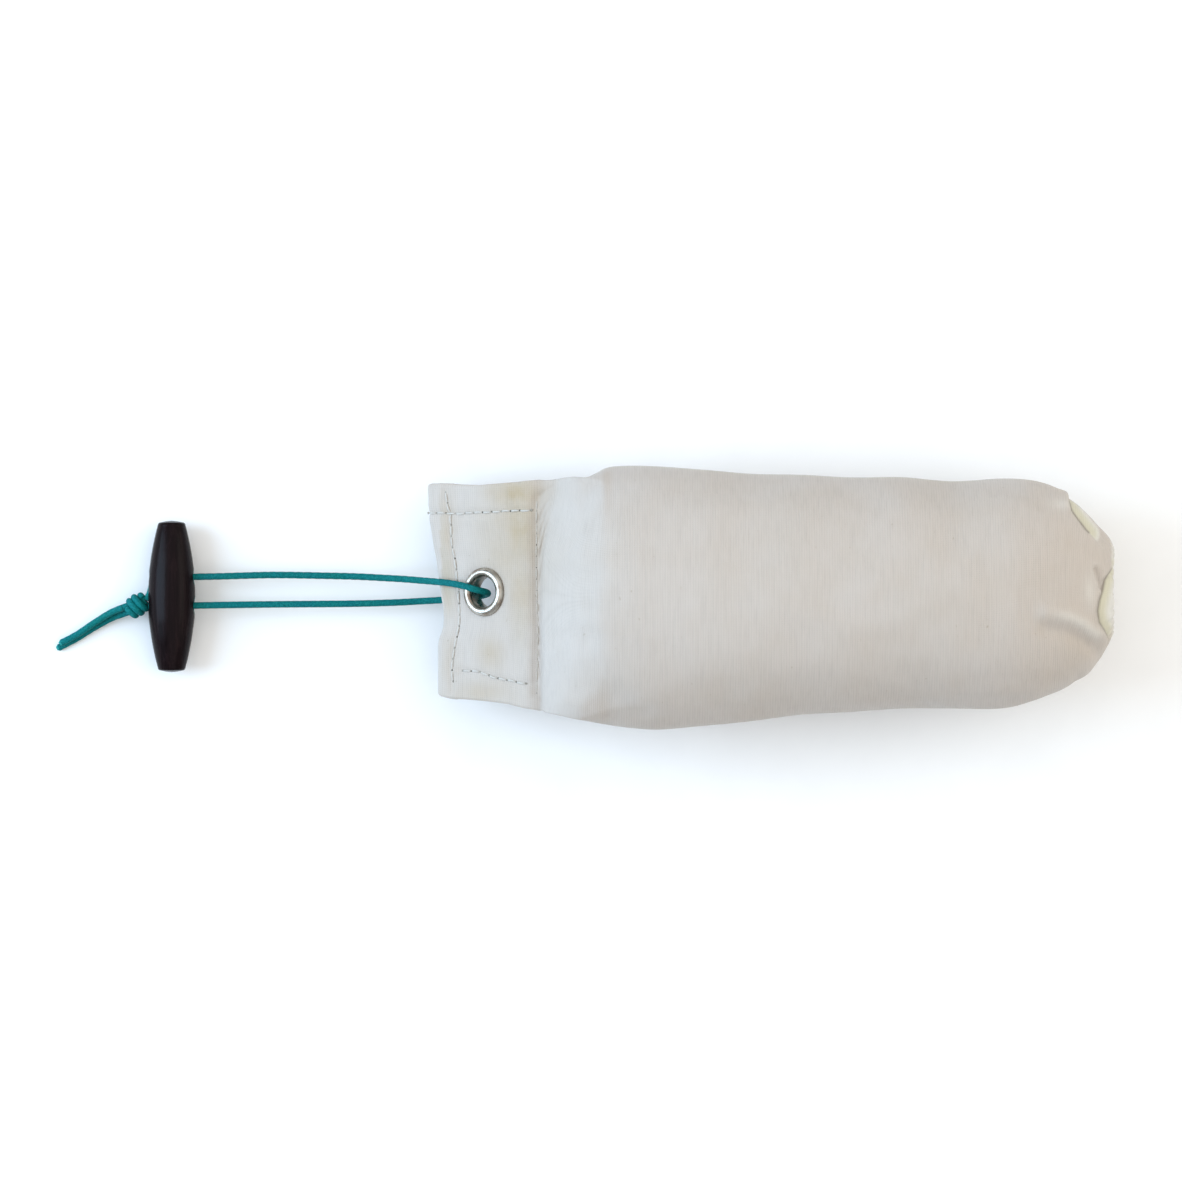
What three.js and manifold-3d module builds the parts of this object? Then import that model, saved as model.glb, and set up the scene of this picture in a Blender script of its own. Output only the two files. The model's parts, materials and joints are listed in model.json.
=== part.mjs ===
// A canvas training bumper for dogs: a stuffed tube, a flat end flap with an eyelet, and a cord
// that is folded through the eyelet and carries a toggle.
// Millimetres, +Z up. +X runs along the tube to its closed far end; the toggle lies toward -X.
// The origin is on the table, under the middle of the canvas.

import * as THREE from "three";
import { mergeVertices } from "three/addons/utils/BufferGeometryUtils.js";
import Module from "manifold-3d";

const wasm = await Module();
wasm.setup();

// ---- Driving dimensions ----

const GAP = 0.3; // clearance between pieces that touch
const AXIS_HEIGHT = 30; // height of the stuffed tube's middle above the table
const CANVAS = 1.2; // thickness of the tube's canvas
const BAG_CLOTH = 0.5; // thickness of the inner bag's cloth
const BAG_ROOM = 1.2; // room between canvas and inner bag, for the turned seams
const RING_SIDES = 24; // corners around each section of the tube

// Sections of the tube: x, the edge toward +Y, the edge toward -Y, half of the height.
// It is sewn flat at the flap end, widest a third of the way along, and closes to a small end face.
const SECTIONS = [
  [-61.9, 31.2, -30.0, 2.2],
  [-60.0, 31.3, -30.2, 2.2],
  [-56.5, 31.6, -30.8, 9.5],
  [-51.5, 31.9, -31.7, 18.5],
  [-46.5, 33.6, -32.7, 24.8],
  [-40.0, 34.6, -33.9, 29.0],
  [-31.8, 34.6, -34.7, 31.0],
  [-5.4, 32.7, -32.6, 31.2],
  [21.0, 31.6, -30.3, 30.9],
  [47.0, 30.9, -29.3, 30.5],
  [64.0, 31.2, -28.4, 28.5],
  [73.8, 29.7, -25.3, 25.5],
  [79.5, 26.4, -22.5, 22.5],
  [84.3, 21.6, -19.2, 18.5],
  [88.0, 17.2, -14.6, 13.5],
  [90.4, 14.6, -10.6, 8.0],
].map(([x, yHigh, yLow, half]) => ({ x, yHigh, yLow, half }));
const FULL_HALF_HEIGHT = 31.2; // of the tube at its fullest

// The flap folds about this line, just outside the closing seam, and hangs toward the table.
const FOLD = { x: -63.2, z: AXIS_HEIGHT };
const DROOP = THREE.MathUtils.degToRad(36);
const FLAP_START = 1.6; // the flap's cloth begins this far from the fold line
const PLY = 0.6; // thickness of one flap ply
const PLY_INSIDE = 0.95; // a ply's inner face, from the flap's middle plane
const HEM_DEPTH = 7.5; // cloth turned in at the mouth
const HEM_CLOTH = 0.5;
const HEM_ROW = 6.4; // the hem's stitches, from the mouth edge
const FLAP_ROOT_Y = { high: 31.0, low: -29.8 }; // the flap's corners at the fold
const MOUTH = [ // the mouth's edge: distance from the fold line, y
  [32.5, 29.2],
  [29.9, 9.9],
  [27.3, -3.8],
  [28.9, -11.2],
  [29.3, -25.2],
];
const GUSSET = { start: 2.2, depth: 18, cloth: 0.5, half: 0.65, fold: 1.0, side: 0.4 };

const EYELET = {
  reach: 14.15, // from the fold line
  y: 1.45,
  hole: 4.05, // radius
  wall: 0.6,
  flange: 6.45, // outer radius of the rolled rims
  rim: 0.6, // thickness of a rim
  sides: 24,
};

const THREAD = { radius: 0.3, sides: 6 };
const CORD = { radius: 0.9, sides: 8, step: 4.5 };

const TOGGLE = {
  x: -159.0,
  y: 0.26,
  radius: 6.3,
  half: 20.15,
  holeHigh: 5.4, // y of the two cord holes
  holeLow: -2.2,
  hole: 1.7, // radius
  countersink: 2.5,
  notchDepth: 2.9, // the cord lies in a notch between the holes, at the back
  notchHalfHeight: 1.4,
  profile: [ // parts of the radius and of the half length, from the middle to the rounded end
    [1.0, 0.08],
    [0.965, 0.29],
    [0.845, 0.57],
    [0.67, 0.84],
    [0.56, 0.96],
    [0.43, 1.0],
  ],
};

const KNOT = { x: -168.5, y: -2.3, z: 5.3, radii: [2.9, 3.2, 3.0] };

// The cord's route from the knot, through the toggle's high hole, over the flap and into the
// eyelet, and back from the eyelet under the flap and through the toggle's low hole to the knot.
const UPPER_ROUTE = [
  [-165.7, -0.5, 5.9],
  [-164.9, 0.7, 6.2],
  [-164.4, 2.3, 6.3],
  [-163.7, 4.3, 6.3],
  [-161.8, 5.3, 6.3],
  [-156.0, 5.4, 6.2],
  [-146.0, 5.6, 6.1],
  [-132.1, 5.95, 6.0],
  [-118.0, 5.75, 6.1],
  [-110.0, 5.55, 6.6],
  [-103.0, 5.2, 8.0],
  [-97.0, 4.85, 10.4],
  [-92.1, 4.45, 13.4],
  [-88.5, 4.15, 16.2],
  [-85.0, 3.8, 19.0],
  [-80.9, 3.0, 21.95],
  [-77.97, 2.1, 22.7],
  [-75.5, 1.5, 21.3],
];
const LOWER_ROUTE = [
  [-75.2, 1.4, 20.8],
  [-74.73, 1.0, 18.2],
  [-76.3, 0.5, 15.6],
  [-80.3, -0.2, 12.4],
  [-84.1, -0.5, 9.2],
  [-87.9, -0.75, 6.9],
  [-92.5, -1.0, 5.5],
  [-98.0, -1.3, 5.3],
  [-105.0, -1.55, 5.7],
  [-113.0, -1.7, 6.05],
  [-132.0, -1.85, 6.0],
  [-146.0, -2.05, 6.1],
  [-156.0, -2.2, 6.2],
  [-165.1, -2.3, 6.2],
];
const TAIL_A_ROUTE = [
  [-171.9, -2.7, 5.3],
  [-174.9, -3.9, 4.2],
  [-179.7, -6.8, 3.0],
  [-184.3, -9.9, 2.6],
  [-189.0, -12.4, 2.5],
];
const TAIL_B_ROUTE = [
  [-171.9, -4.4, 3.2],
  [-174.8, -5.4, 2.0],
  [-180.1, -8.2, 1.1],
  [-184.6, -11.0, 0.95],
  [-189.8, -13.7, 0.95],
];

const MATERIALS = {
  canvas: { color: 0xd0cdc4, roughness: 0.95, metalness: 0 },
  lining: { color: 0xdad7cb, roughness: 0.95, metalness: 0 },
  filling: { color: 0xc4ad82, roughness: 1, metalness: 0 },
  thread: { color: 0xe4e0d4, roughness: 0.8, metalness: 0 },
  eyelet: { color: 0xb9bdc2, roughness: 0.25, metalness: 1 },
  cord: { color: 0x0b7f7a, roughness: 0.7, metalness: 0 },
  toggle: { color: 0x1f1613, roughness: 0.45, metalness: 0 },
};

// ---- Helpers ----

const bumper = new THREE.Group();
const flap = new THREE.Group();
flap.position.set(FOLD.x, 0, FOLD.z);
flap.rotation.y = -DROOP;
bumper.add(flap);

function add(parent, name, material, geometry) {
  const mesh = new THREE.Mesh(geometry, new THREE.MeshStandardMaterial(MATERIALS[material]));
  mesh.name = name;
  parent.add(mesh);
  return mesh;
}

function toSolid(geometry) {
  const bare = geometry.clone();
  bare.deleteAttribute("normal");
  bare.deleteAttribute("uv");
  const merged = mergeVertices(bare);
  return new wasm.Manifold(new wasm.Mesh({
    numProp: 3,
    vertProperties: merged.attributes.position.array,
    triVerts: merged.index.array,
  }));
}

function toGeometry(solid) {
  const mesh = solid.getMesh();
  const geometry = new THREE.BufferGeometry();
  geometry.setAttribute("position", new THREE.BufferAttribute(mesh.vertProperties, 3));
  geometry.setIndex(new THREE.BufferAttribute(mesh.triVerts, 1));
  geometry.computeVertexNormals();
  return geometry;
}

function join(...geometries) {
  return toGeometry(geometries.map(toSolid).reduce((sum, solid) => sum.add(solid)));
}

function cut(geometry, ...tools) {
  return toGeometry(tools.map(toSolid).reduce((rest, tool) => rest.subtract(tool), toSolid(geometry)));
}

// A flat plate of cloth: an outline in x and y, between two heights.
function plate(points, zLow, zHigh, holes = []) {
  const shape = new THREE.Shape(points.map(([x, y]) => new THREE.Vector2(x, y)));
  for (const hole of holes) shape.holes.push(hole);
  const geometry = new THREE.ExtrudeGeometry(shape, { depth: zHigh - zLow, bevelEnabled: false });
  return geometry.translate(0, 0, zLow);
}

// A polygon of the same radius all round, as a section or a hole.
function roundPath(radius, sides, x = 0, y = 0) {
  const points = [];
  for (let i = 0; i < sides; i += 1) {
    const turn = (i / sides) * Math.PI * 2;
    points.push(new THREE.Vector2(x + radius * Math.cos(turn), y + radius * Math.sin(turn)));
  }
  return points;
}

// A round strand along a smooth curve through the route's points.
function strand(route, radius, sides, step) {
  const curve = new THREE.CatmullRomCurve3(route.map((point) => new THREE.Vector3(...point)));
  return new THREE.ExtrudeGeometry(new THREE.Shape(roundPath(radius, sides)), {
    steps: Math.max(1, Math.round(curve.getLength() / step)),
    extrudePath: curve,
    bevelEnabled: false,
  });
}

function thread(route, step = 9) {
  return strand(route, THREAD.radius, THREAD.sides, step);
}

// ---- Stuffed tube ----

// One section's corners, at a depth under the outside of the canvas.
function ring(index, depth) {
  const section = SECTIONS[index];
  const before = SECTIONS[Math.max(index - 1, 0)];
  const after = SECTIONS[Math.min(index + 1, SECTIONS.length - 1)];
  const rise = after.half - before.half;
  const run = after.x - before.x;
  const slope = Math.hypot(rise, run);
  const x = section.x + (depth * rise) / slope;
  const half = section.half - (depth * run) / slope;
  const width = (section.yHigh - section.yLow) / 2 - depth;
  const middle = (section.yHigh + section.yLow) / 2;
  const flatness = 1 - section.half / FULL_HALF_HEIGHT;
  const power = 2 / (2.15 + 6 * flatness ** 3); // flat sections are squarer than full ones
  const corners = [];
  for (let i = 0; i < RING_SIDES; i += 1) {
    const turn = (i / RING_SIDES) * Math.PI * 2;
    const across = Math.sign(Math.cos(turn)) * Math.abs(Math.cos(turn)) ** power;
    const up = Math.sign(Math.sin(turn)) * Math.abs(Math.sin(turn)) ** power;
    const z = Math.max(AXIS_HEIGHT + half * up, depth); // flat where it rests
    corners.push(new THREE.Vector3(x, middle + width * across, z));
  }
  return corners;
}

function rings(first, last, depth) {
  const list = [];
  for (let index = first; index <= last; index += 1) list.push(ring(index, depth));
  return list;
}

// Skin over rings that follow +X, facing out, or in where it is the inner side of a cloth.
// Each closed end gets a fan about its middle.
class Skin {
  constructor() {
    this.points = [];
    this.faces = [];
  }

  addRings(list) {
    const start = this.points.length;
    for (const corners of list) this.points.push(...corners);
    return start;
  }

  side(start, ringCount, inner) {
    for (let row = 0; row < ringCount - 1; row += 1) {
      const near = start + row * RING_SIDES;
      this.band(near, near + RING_SIDES, inner);
    }
  }

  band(near, far, inner) {
    for (let i = 0; i < RING_SIDES; i += 1) {
      const next = (i + 1) % RING_SIDES;
      this.face(near + i, far + i, far + next, inner);
      this.face(near + i, far + next, near + next, inner);
    }
  }

  cap(start, inner) {
    const middle = new THREE.Vector3();
    for (let i = 0; i < RING_SIDES; i += 1) middle.add(this.points[start + i]);
    this.points.push(middle.divideScalar(RING_SIDES));
    const centre = this.points.length - 1;
    for (let i = 0; i < RING_SIDES; i += 1) {
      this.face(start + i, centre, start + ((i + 1) % RING_SIDES), inner);
    }
  }

  face(a, b, c, inner) {
    this.faces.push(...(inner ? [a, b, c] : [a, c, b]));
  }

  geometry() {
    const geometry = new THREE.BufferGeometry().setFromPoints(this.points);
    geometry.setIndex(this.faces);
    geometry.computeVertexNormals();
    return geometry;
  }
}

function closedTube(list) {
  const skin = new Skin();
  const start = skin.addRings(list);
  skin.side(start, list.length, false);
  skin.cap(start + (list.length - 1) * RING_SIDES, false);
  skin.cap(start, true);
  return skin.geometry();
}

// Cloth around a space that is open at the first ring.
function openBag(outside, inside) {
  const skin = new Skin();
  const outer = skin.addRings(outside);
  const inner = skin.addRings(inside);
  skin.side(outer, outside.length, false);
  skin.side(inner, inside.length, true);
  skin.cap(outer + (outside.length - 1) * RING_SIDES, false);
  skin.cap(inner + (inside.length - 1) * RING_SIDES, true);
  skin.band(outer, inner, true);
  return skin.geometry();
}

function addTube() {
  const last = SECTIONS.length - 1;
  const bagDepth = CANVAS + BAG_ROOM;
  const fillDepth = bagDepth + BAG_CLOTH + GAP;
  add(bumper, "canvas_cover", "canvas", openBag(rings(0, last, 0), rings(0, last, CANVAS)));
  add(bumper, "inner_bag", "lining",
    openBag(rings(3, last - 1, bagDepth), rings(3, last - 1, bagDepth + BAG_CLOTH)));
  add(bumper, "filling", "filling", closedTube(rings(3, last - 1, fillDepth)));
}

function addTubeThreads() {
  const seamX = -60.7;
  const seamHeight = SECTIONS[0].half + GAP + THREAD.radius;
  const seamRoute = (z) => [[seamX, 27.5, z], [seamX, 0, z], [seamX, -26.5, z]];
  add(bumper, "closing_seam_thread", "thread", thread(seamRoute(AXIS_HEIGHT + seamHeight)));
  add(bumper, "closing_seam_bobbin_thread", "thread", thread(seamRoute(AXIS_HEIGHT - seamHeight)));

  // The long seam is turned inside and runs low along the -Y side.
  const longSeamCorner = 17;
  const threadDepth = CANVAS + BAG_ROOM / 2;
  const longRoute = rings(5, 11, threadDepth).map((corners) => corners[longSeamCorner].toArray());
  add(bumper, "long_seam_thread", "thread", thread(longRoute, 4));

  const endX = SECTIONS.at(-1).x - CANVAS - GAP - THREAD.radius;
  const endRoute = [[endX, 9, AXIS_HEIGHT], [endX, 2, AXIS_HEIGHT], [endX, -5, AXIS_HEIGHT]];
  add(bumper, "end_seam_thread", "thread", thread(endRoute));
}

// ---- Flap, drawn flat about the fold line with its mouth toward -X ----

function mouthLine(inset) {
  const edge = MOUTH.map(([reach, y]) => new THREE.Vector2(inset - reach, y));
  return new THREE.SplineCurve(edge).getPoints(10).map((point) => [point.x, point.y]);
}

// The flap's side edge at a distance from the fold line.
function sideY(side, reach) {
  const root = side > 0 ? FLAP_ROOT_Y.high : FLAP_ROOT_Y.low;
  const [mouthReach, mouthY] = side > 0 ? MOUTH[0] : MOUTH.at(-1);
  return THREE.MathUtils.mapLinear(reach, FLAP_START, mouthReach, root, mouthY);
}

function flapPly(side) {
  const outline = [
    [-FLAP_START, FLAP_ROOT_Y.high],
    ...mouthLine(0),
    [-FLAP_START, FLAP_ROOT_Y.low],
  ];
  const hem = [...mouthLine(0), ...mouthLine(HEM_DEPTH).reverse()];
  const holeRadius = EYELET.hole + EYELET.wall + GAP;
  const hole = new THREE.Path(roundPath(holeRadius, EYELET.sides, -EYELET.reach, EYELET.y));
  const faces = (near, far) => [Math.min(side * near, side * far), Math.max(side * near, side * far)];
  const sheet = plate(outline, ...faces(PLY_INSIDE, PLY_INSIDE + PLY), [hole]);
  const turnedIn = plate(hem, ...faces(PLY_INSIDE - HEM_CLOTH, PLY_INSIDE + PLY / 2));
  return join(sheet, turnedIn);
}

// The tube's side, tucked in between the plies: two leaves that meet in a fold.
function gusset(side, end) {
  const { start, depth, cloth, half, fold } = GUSSET;
  const strip = (near, far) => [
    [-start, sideY(side, start) - side * near],
    [-end, sideY(side, end) - side * near],
    [-end, sideY(side, end) - side * far],
    [-start, sideY(side, start) - side * far],
  ];
  const leaf = strip(GUSSET.side, depth);
  const upper = plate(leaf, half - cloth, half);
  const lower = plate(leaf, -half, cloth - half);
  return join(upper, lower, plate(strip(depth - fold, depth), -half, half));
}

function addFlap() {
  add(flap, "flap_upper_ply", "canvas", flapPly(1));
  add(flap, "flap_lower_ply", "canvas", flapPly(-1));
  const gussetEnd = (mouthReach) => mouthReach - HEM_DEPTH - 4 * GAP;
  add(flap, "side_gusset_high", "canvas", gusset(1, gussetEnd(MOUTH[1][0])));
  add(flap, "side_gusset_low", "canvas", gusset(-1, gussetEnd(MOUTH.at(-1)[0])));
}

function addFlapThreads() {
  const height = PLY_INSIDE + PLY + GAP + THREAD.radius;
  const mouthEnds = 1.5; // the hem's stitches stop this far from the side edges
  const hemRoute = mouthLine(HEM_ROW).filter(([, y]) => (
    y < MOUTH[0][1] - mouthEnds && y > MOUTH.at(-1)[1] + mouthEnds));
  const highRow = [[-24.4, 22.3], [-14.0, 22.4], [-3.6, 22.6]];
  const lowRow = [[-21.2, -19.4], [-15.0, -20.2], [-8.0, -21.6], [-3.6, -22.6]];
  const rows = { mouth_hem: hemRoute, high_side: highRow, low_side: lowRow };
  for (const [name, row] of Object.entries(rows)) {
    const atHeight = (z) => row.map(([x, y]) => [x, y, z]);
    add(flap, `${name}_needle_thread`, "thread", thread(atHeight(height)));
    add(flap, `${name}_bobbin_thread`, "thread", thread(atHeight(-height)));
  }
}

// A ring turned about the flap's normal, from a closed outline of radius and height.
function turned(profile) {
  const points = [...profile, profile[0]].map(([radius, z]) => new THREE.Vector2(radius, z));
  const geometry = new THREE.LatheGeometry(points, EYELET.sides);
  return geometry.rotateX(Math.PI / 2);
}

function addEyelet() {
  const { hole, wall, flange, rim } = EYELET;
  const face = PLY_INSIDE + PLY + GAP;
  const barrel = turned([
    [hole, -face - rim],
    [hole + wall, -face - rim],
    [hole + wall, face],
    [flange, face],
    [flange, face + rim / 2],
    [flange - rim, face + rim],
    [hole + wall / 2, face + rim],
    [hole, face + rim / 2],
  ]);
  const washer = turned([
    [hole + wall + GAP, -face - rim],
    [flange, -face - rim],
    [flange, -face],
    [hole + wall + GAP, -face],
  ]);
  for (const [name, geometry] of [["eyelet_barrel", barrel], ["eyelet_washer", washer]]) {
    add(flap, name, "eyelet", geometry).position.set(-EYELET.reach, EYELET.y, 0);
  }
}

// ---- Cord and toggle ----

function addCord() {
  const { radius, sides, step } = CORD;
  add(bumper, "cord_upper_run", "cord", strand(UPPER_ROUTE, radius, sides, step));
  add(bumper, "cord_lower_run", "cord", strand(LOWER_ROUTE, radius, sides, step));
  add(bumper, "cord_tail_a", "cord", strand(TAIL_A_ROUTE, radius, sides, step));
  add(bumper, "cord_tail_b", "cord", strand(TAIL_B_ROUTE, radius, sides, step));
  const knot = new THREE.IcosahedronGeometry(1, 2).scale(...KNOT.radii);
  add(bumper, "cord_knot", "cord", knot.translate(KNOT.x, KNOT.y, KNOT.z));
}

function addToggle() {
  const { radius, half, hole, countersink, notchDepth, notchHalfHeight } = TOGGLE;
  const belly = TOGGLE.profile.map(([r, y]) => [r * radius, y * half]);
  const mirrored = belly.map(([r, y]) => [r, -y]).reverse();
  const profile = [[0, -half], ...mirrored, ...belly, [0, half]];
  const spindle = new THREE.LatheGeometry(profile.map(([r, y]) => new THREE.Vector2(r, y)), 24);
  const tools = [];
  for (const holeY of [TOGGLE.holeHigh, TOGGLE.holeLow]) {
    const y = holeY - TOGGLE.y;
    const drill = new THREE.CylinderGeometry(hole, hole, radius * 3, 16).rotateZ(Math.PI / 2);
    const sink = new THREE.CylinderGeometry(countersink, hole, 1.2, 16).rotateZ(-Math.PI / 2);
    tools.push(drill.translate(0, y, 0), sink.translate(radius - 0.3, y, 0));
  }
  const notchLow = TOGGLE.holeLow - TOGGLE.y - notchHalfHeight;
  const notchHigh = TOGGLE.holeHigh - TOGGLE.y + notchHalfHeight;
  const notch = new THREE.BoxGeometry(2 * notchDepth, notchHigh - notchLow, 2 * notchHalfHeight);
  tools.push(notch.translate(-radius, (notchLow + notchHigh) / 2, 0));
  const toggle = add(bumper, "toggle", "toggle", cut(spindle, ...tools));
  toggle.position.set(TOGGLE.x, TOGGLE.y, radius);
}

addTube();
addTubeThreads();
addFlap();
addFlapThreads();
addEyelet();
addCord();
addToggle();

export default bumper;
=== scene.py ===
"""Looks of the canvas training bumper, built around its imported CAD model.

Shapes are worked out in millimetres, in the CAD model's frame, and turned into metres when a mesh
is made. The canvas is one cloth: the stuffed tube runs on into the flap's two plies.
"""

import json
import math

import bmesh
import bpy
import numpy as np
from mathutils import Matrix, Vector, noise
from mathutils.geometry import tessellate_polygon


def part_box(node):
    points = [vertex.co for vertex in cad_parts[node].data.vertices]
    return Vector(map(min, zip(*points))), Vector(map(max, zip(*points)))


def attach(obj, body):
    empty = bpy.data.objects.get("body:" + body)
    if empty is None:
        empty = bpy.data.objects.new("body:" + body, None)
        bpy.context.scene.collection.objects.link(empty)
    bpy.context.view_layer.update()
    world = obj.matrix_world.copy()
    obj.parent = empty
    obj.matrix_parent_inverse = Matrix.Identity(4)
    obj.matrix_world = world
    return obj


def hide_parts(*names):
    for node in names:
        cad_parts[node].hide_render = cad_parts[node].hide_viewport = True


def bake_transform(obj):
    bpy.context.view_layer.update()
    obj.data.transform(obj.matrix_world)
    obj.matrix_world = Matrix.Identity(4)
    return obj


MM = 0.001

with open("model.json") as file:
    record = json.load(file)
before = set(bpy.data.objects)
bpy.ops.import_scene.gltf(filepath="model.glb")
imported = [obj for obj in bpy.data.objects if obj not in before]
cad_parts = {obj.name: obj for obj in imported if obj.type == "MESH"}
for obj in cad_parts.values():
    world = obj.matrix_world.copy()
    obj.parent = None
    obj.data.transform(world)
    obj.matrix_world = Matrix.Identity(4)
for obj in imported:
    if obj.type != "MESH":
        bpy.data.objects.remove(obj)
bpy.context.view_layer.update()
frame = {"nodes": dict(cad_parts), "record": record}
joints = {joint["name"]: joint for joint in frame["record"]["behaviour"]["joints"]}

# ---- Places that the frame gives, in millimetres ----

FOLD_X = joints["flap_fold"]["pos_m"][0] / MM
FOLD_Z = joints["flap_fold"]["pos_m"][2] / MM
EYELET_POS = np.array(joints["cord_swing"]["pos_m"]) / MM
EYELET_AXIS = np.array(joints["cord_swing"]["axis"])
DROOP = math.atan2(-EYELET_AXIS[0], EYELET_AXIS[2])
EYELET_REACH = math.hypot(EYELET_POS[0] - FOLD_X, EYELET_POS[2] - FOLD_Z)
EYELET_Y = EYELET_POS[1]
TOGGLE_LOW, TOGGLE_HIGH = (np.array(corner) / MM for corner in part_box("toggle"))
TOGGLE_MIDDLE = (TOGGLE_LOW + TOGGLE_HIGH) / 2
KNOT_LOW, KNOT_HIGH = (np.array(corner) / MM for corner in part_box("cord_knot"))
KNOT_MIDDLE = (KNOT_LOW + KNOT_HIGH) / 2

# ---- Camera: straight above, as on a product sheet ----

VIEW_WIDTH = 312.0
VIEW_MIDDLE = (-47.4, 1.7)
VIEW_HEIGHT = 2500.0
VIEW_LEVEL = 25.0  # height at which the picture is VIEW_WIDTH wide
SENSOR = 36.0


def add_camera():
    camera = bpy.data.objects.new("camera", bpy.data.cameras.new("camera"))
    camera.data.sensor_width = SENSOR
    camera.data.lens = SENSOR * (VIEW_HEIGHT - VIEW_LEVEL) / VIEW_WIDTH
    camera.data.clip_end = 20.0
    camera.location = (VIEW_MIDDLE[0] * MM, VIEW_MIDDLE[1] * MM, VIEW_HEIGHT * MM)
    bpy.context.collection.objects.link(camera)
    bpy.context.scene.camera = camera


# ---- Cord routes, the same points as in the CAD model ----

UPPER_ROUTE = [
    (-165.7, -0.5, 5.9), (-164.9, 0.7, 6.2), (-164.4, 2.3, 6.3), (-163.7, 4.3, 6.3),
    (-161.8, 5.3, 6.3), (-156.0, 5.4, 6.2), (-146.0, 5.6, 6.1), (-132.1, 5.95, 6.0),
    (-118.0, 5.75, 6.1), (-110.0, 5.55, 6.6), (-103.0, 5.2, 8.0), (-97.0, 4.85, 10.4),
    (-92.1, 4.45, 13.4), (-88.5, 4.15, 16.2), (-85.0, 3.8, 19.0), (-80.9, 3.0, 21.95),
    (-77.97, 2.1, 22.7), (-75.5, 1.5, 21.3),
]
LOWER_ROUTE = [
    (-75.2, 1.4, 20.8), (-74.73, 1.0, 18.2), (-76.3, 0.5, 15.6), (-80.3, -0.2, 12.4),
    (-84.1, -0.5, 9.2), (-87.9, -0.75, 6.9), (-92.5, -1.0, 5.5), (-98.0, -1.3, 5.3),
    (-105.0, -1.55, 5.7), (-113.0, -1.7, 6.05), (-132.0, -1.85, 6.0), (-146.0, -2.05, 6.1),
    (-156.0, -2.2, 6.2), (-165.1, -2.3, 6.2),
]
TAIL_A_ROUTE = [
    (-171.9, -2.7, 5.3), (-174.9, -3.9, 4.2), (-179.7, -6.8, 3.0), (-184.3, -9.9, 2.6),
    (-189.0, -12.4, 2.5),
]
TAIL_B_ROUTE = [
    (-171.9, -4.4, 3.2), (-174.8, -5.4, 2.0), (-180.1, -8.2, 1.1), (-184.6, -11.0, 0.95),
    (-189.8, -13.7, 0.95),
]
CORD_ROUTE = UPPER_ROUTE + LOWER_ROUTE
CORD_RADIUS = 0.9

# ---- The canvas: shape of the stuffed tube ----

# Along the tube: x, edge toward +Y, edge toward -Y, half of the height.
TUBE = np.array([
    (-61.0, 30.9, -29.8, 1.7), (-60.0, 31.1, -30.0, 3.4), (-58.5, 31.4, -30.4, 6.6),
    (-55.6, 31.9, -31.0, 12.8), (-51.5, 31.8, -31.9, 20.2), (-47.7, 32.9, -32.6, 25.2),
    (-43.7, 34.3, -33.4, 28.4), (-37.1, 34.7, -34.3, 30.4), (-29.2, 34.5, -34.8, 31.0),
    (-18.6, 33.7, -33.9, 31.3), (-5.4, 32.6, -32.6, 31.2), (7.8, 32.3, -30.9, 31.1),
    (21.0, 31.6, -30.2, 30.9), (34.2, 31.7, -29.3, 30.7), (47.4, 30.6, -29.2, 30.2),
    (60.6, 31.3, -29.2, 28.8), (68.5, 30.9, -27.3, 26.6), (74.6, 29.2, -24.9, 24.2),
    (79.1, 26.3, -22.6, 21.6), (83.0, 22.8, -20.4, 18.8), (86.4, 19.0, -16.6, 15.4),
    (88.9, 16.2, -12.8, 11.8), (90.3, 13.8, -10.2, 8.0), (90.4, 12.6, -9.2, 4.2),
    (90.1, 12.2, -8.8, 1.7), (89.5, 11.9, -8.5, 0.5), (88.9, 11.7, -8.3, 0.15),
])
AXIS_Z = FOLD_Z
TUBE_HALF = 31.2  # half height where the tube is full
TUBE_GIRTH = 198.0
TUCK_DEPTH = 18.0  # of the sides that are folded in at the seam
INNER_START, INNER_END = -42.0, 87.0  # x of the inner bag's two ends
BAG_INSET = 1.6  # from the canvas
STUFFING_INSET = 2.4

# ---- The canvas: shape of the flap, drawn flat ----

SEAM_REACH = -2.2  # where tube and flap meet, on the tube's side of the fold line
# Each point is a distance from the fold line and a y.
MOUTH_EDGE = np.array([(29.0, -25.2), (29.0, -11.6), (28.1, -9.4), (27.4, -7.4), (27.3, -3.8),
                       (28.5, 2.0), (29.8, 9.9), (31.7, 20.5), (32.4, 29.2)])
HIGH_EDGE = np.array([(-2.2, 30.9), (3.5, 30.4), (16.6, 29.6), (26.5, 30.0), (32.4, 30.0)])
LOW_EDGE = np.array([(-2.2, -29.8), (6.9, -28.0), (13.4, -27.4), (24.8, -26.6), (29.0, -26.0)])
HEM_ROW = [(26.7, 28.4), (26.0, 24.4), (24.9, 21.2), (24.9, 18.1), (24.7, 14.9), (24.0, 11.7),
           (23.4, 8.6), (22.3, 2.0), (22.0, -4.0), (22.4, -8.5), (23.6, -12.3), (24.6, -17.6),
           (24.1, -24.6)]
HEM_EXTRA = 1.0  # the turned-in cloth reaches this far past its stitches
SIDE_ROW_HIGH = [(33.0, 22.4), (22.0, 22.2), (12.0, 22.6), (-0.6, 23.0)]
SIDE_ROW_LOW = [(21.8, -19.4), (16.0, -19.5), (10.5, -21.2), (4.5, -22.1), (-0.6, -22.9)]
CLOSING_ROW = [(-1.7, 26.3), (-1.5, 8.0), (-1.9, -10.0), (-1.6, -25.4)]
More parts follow.
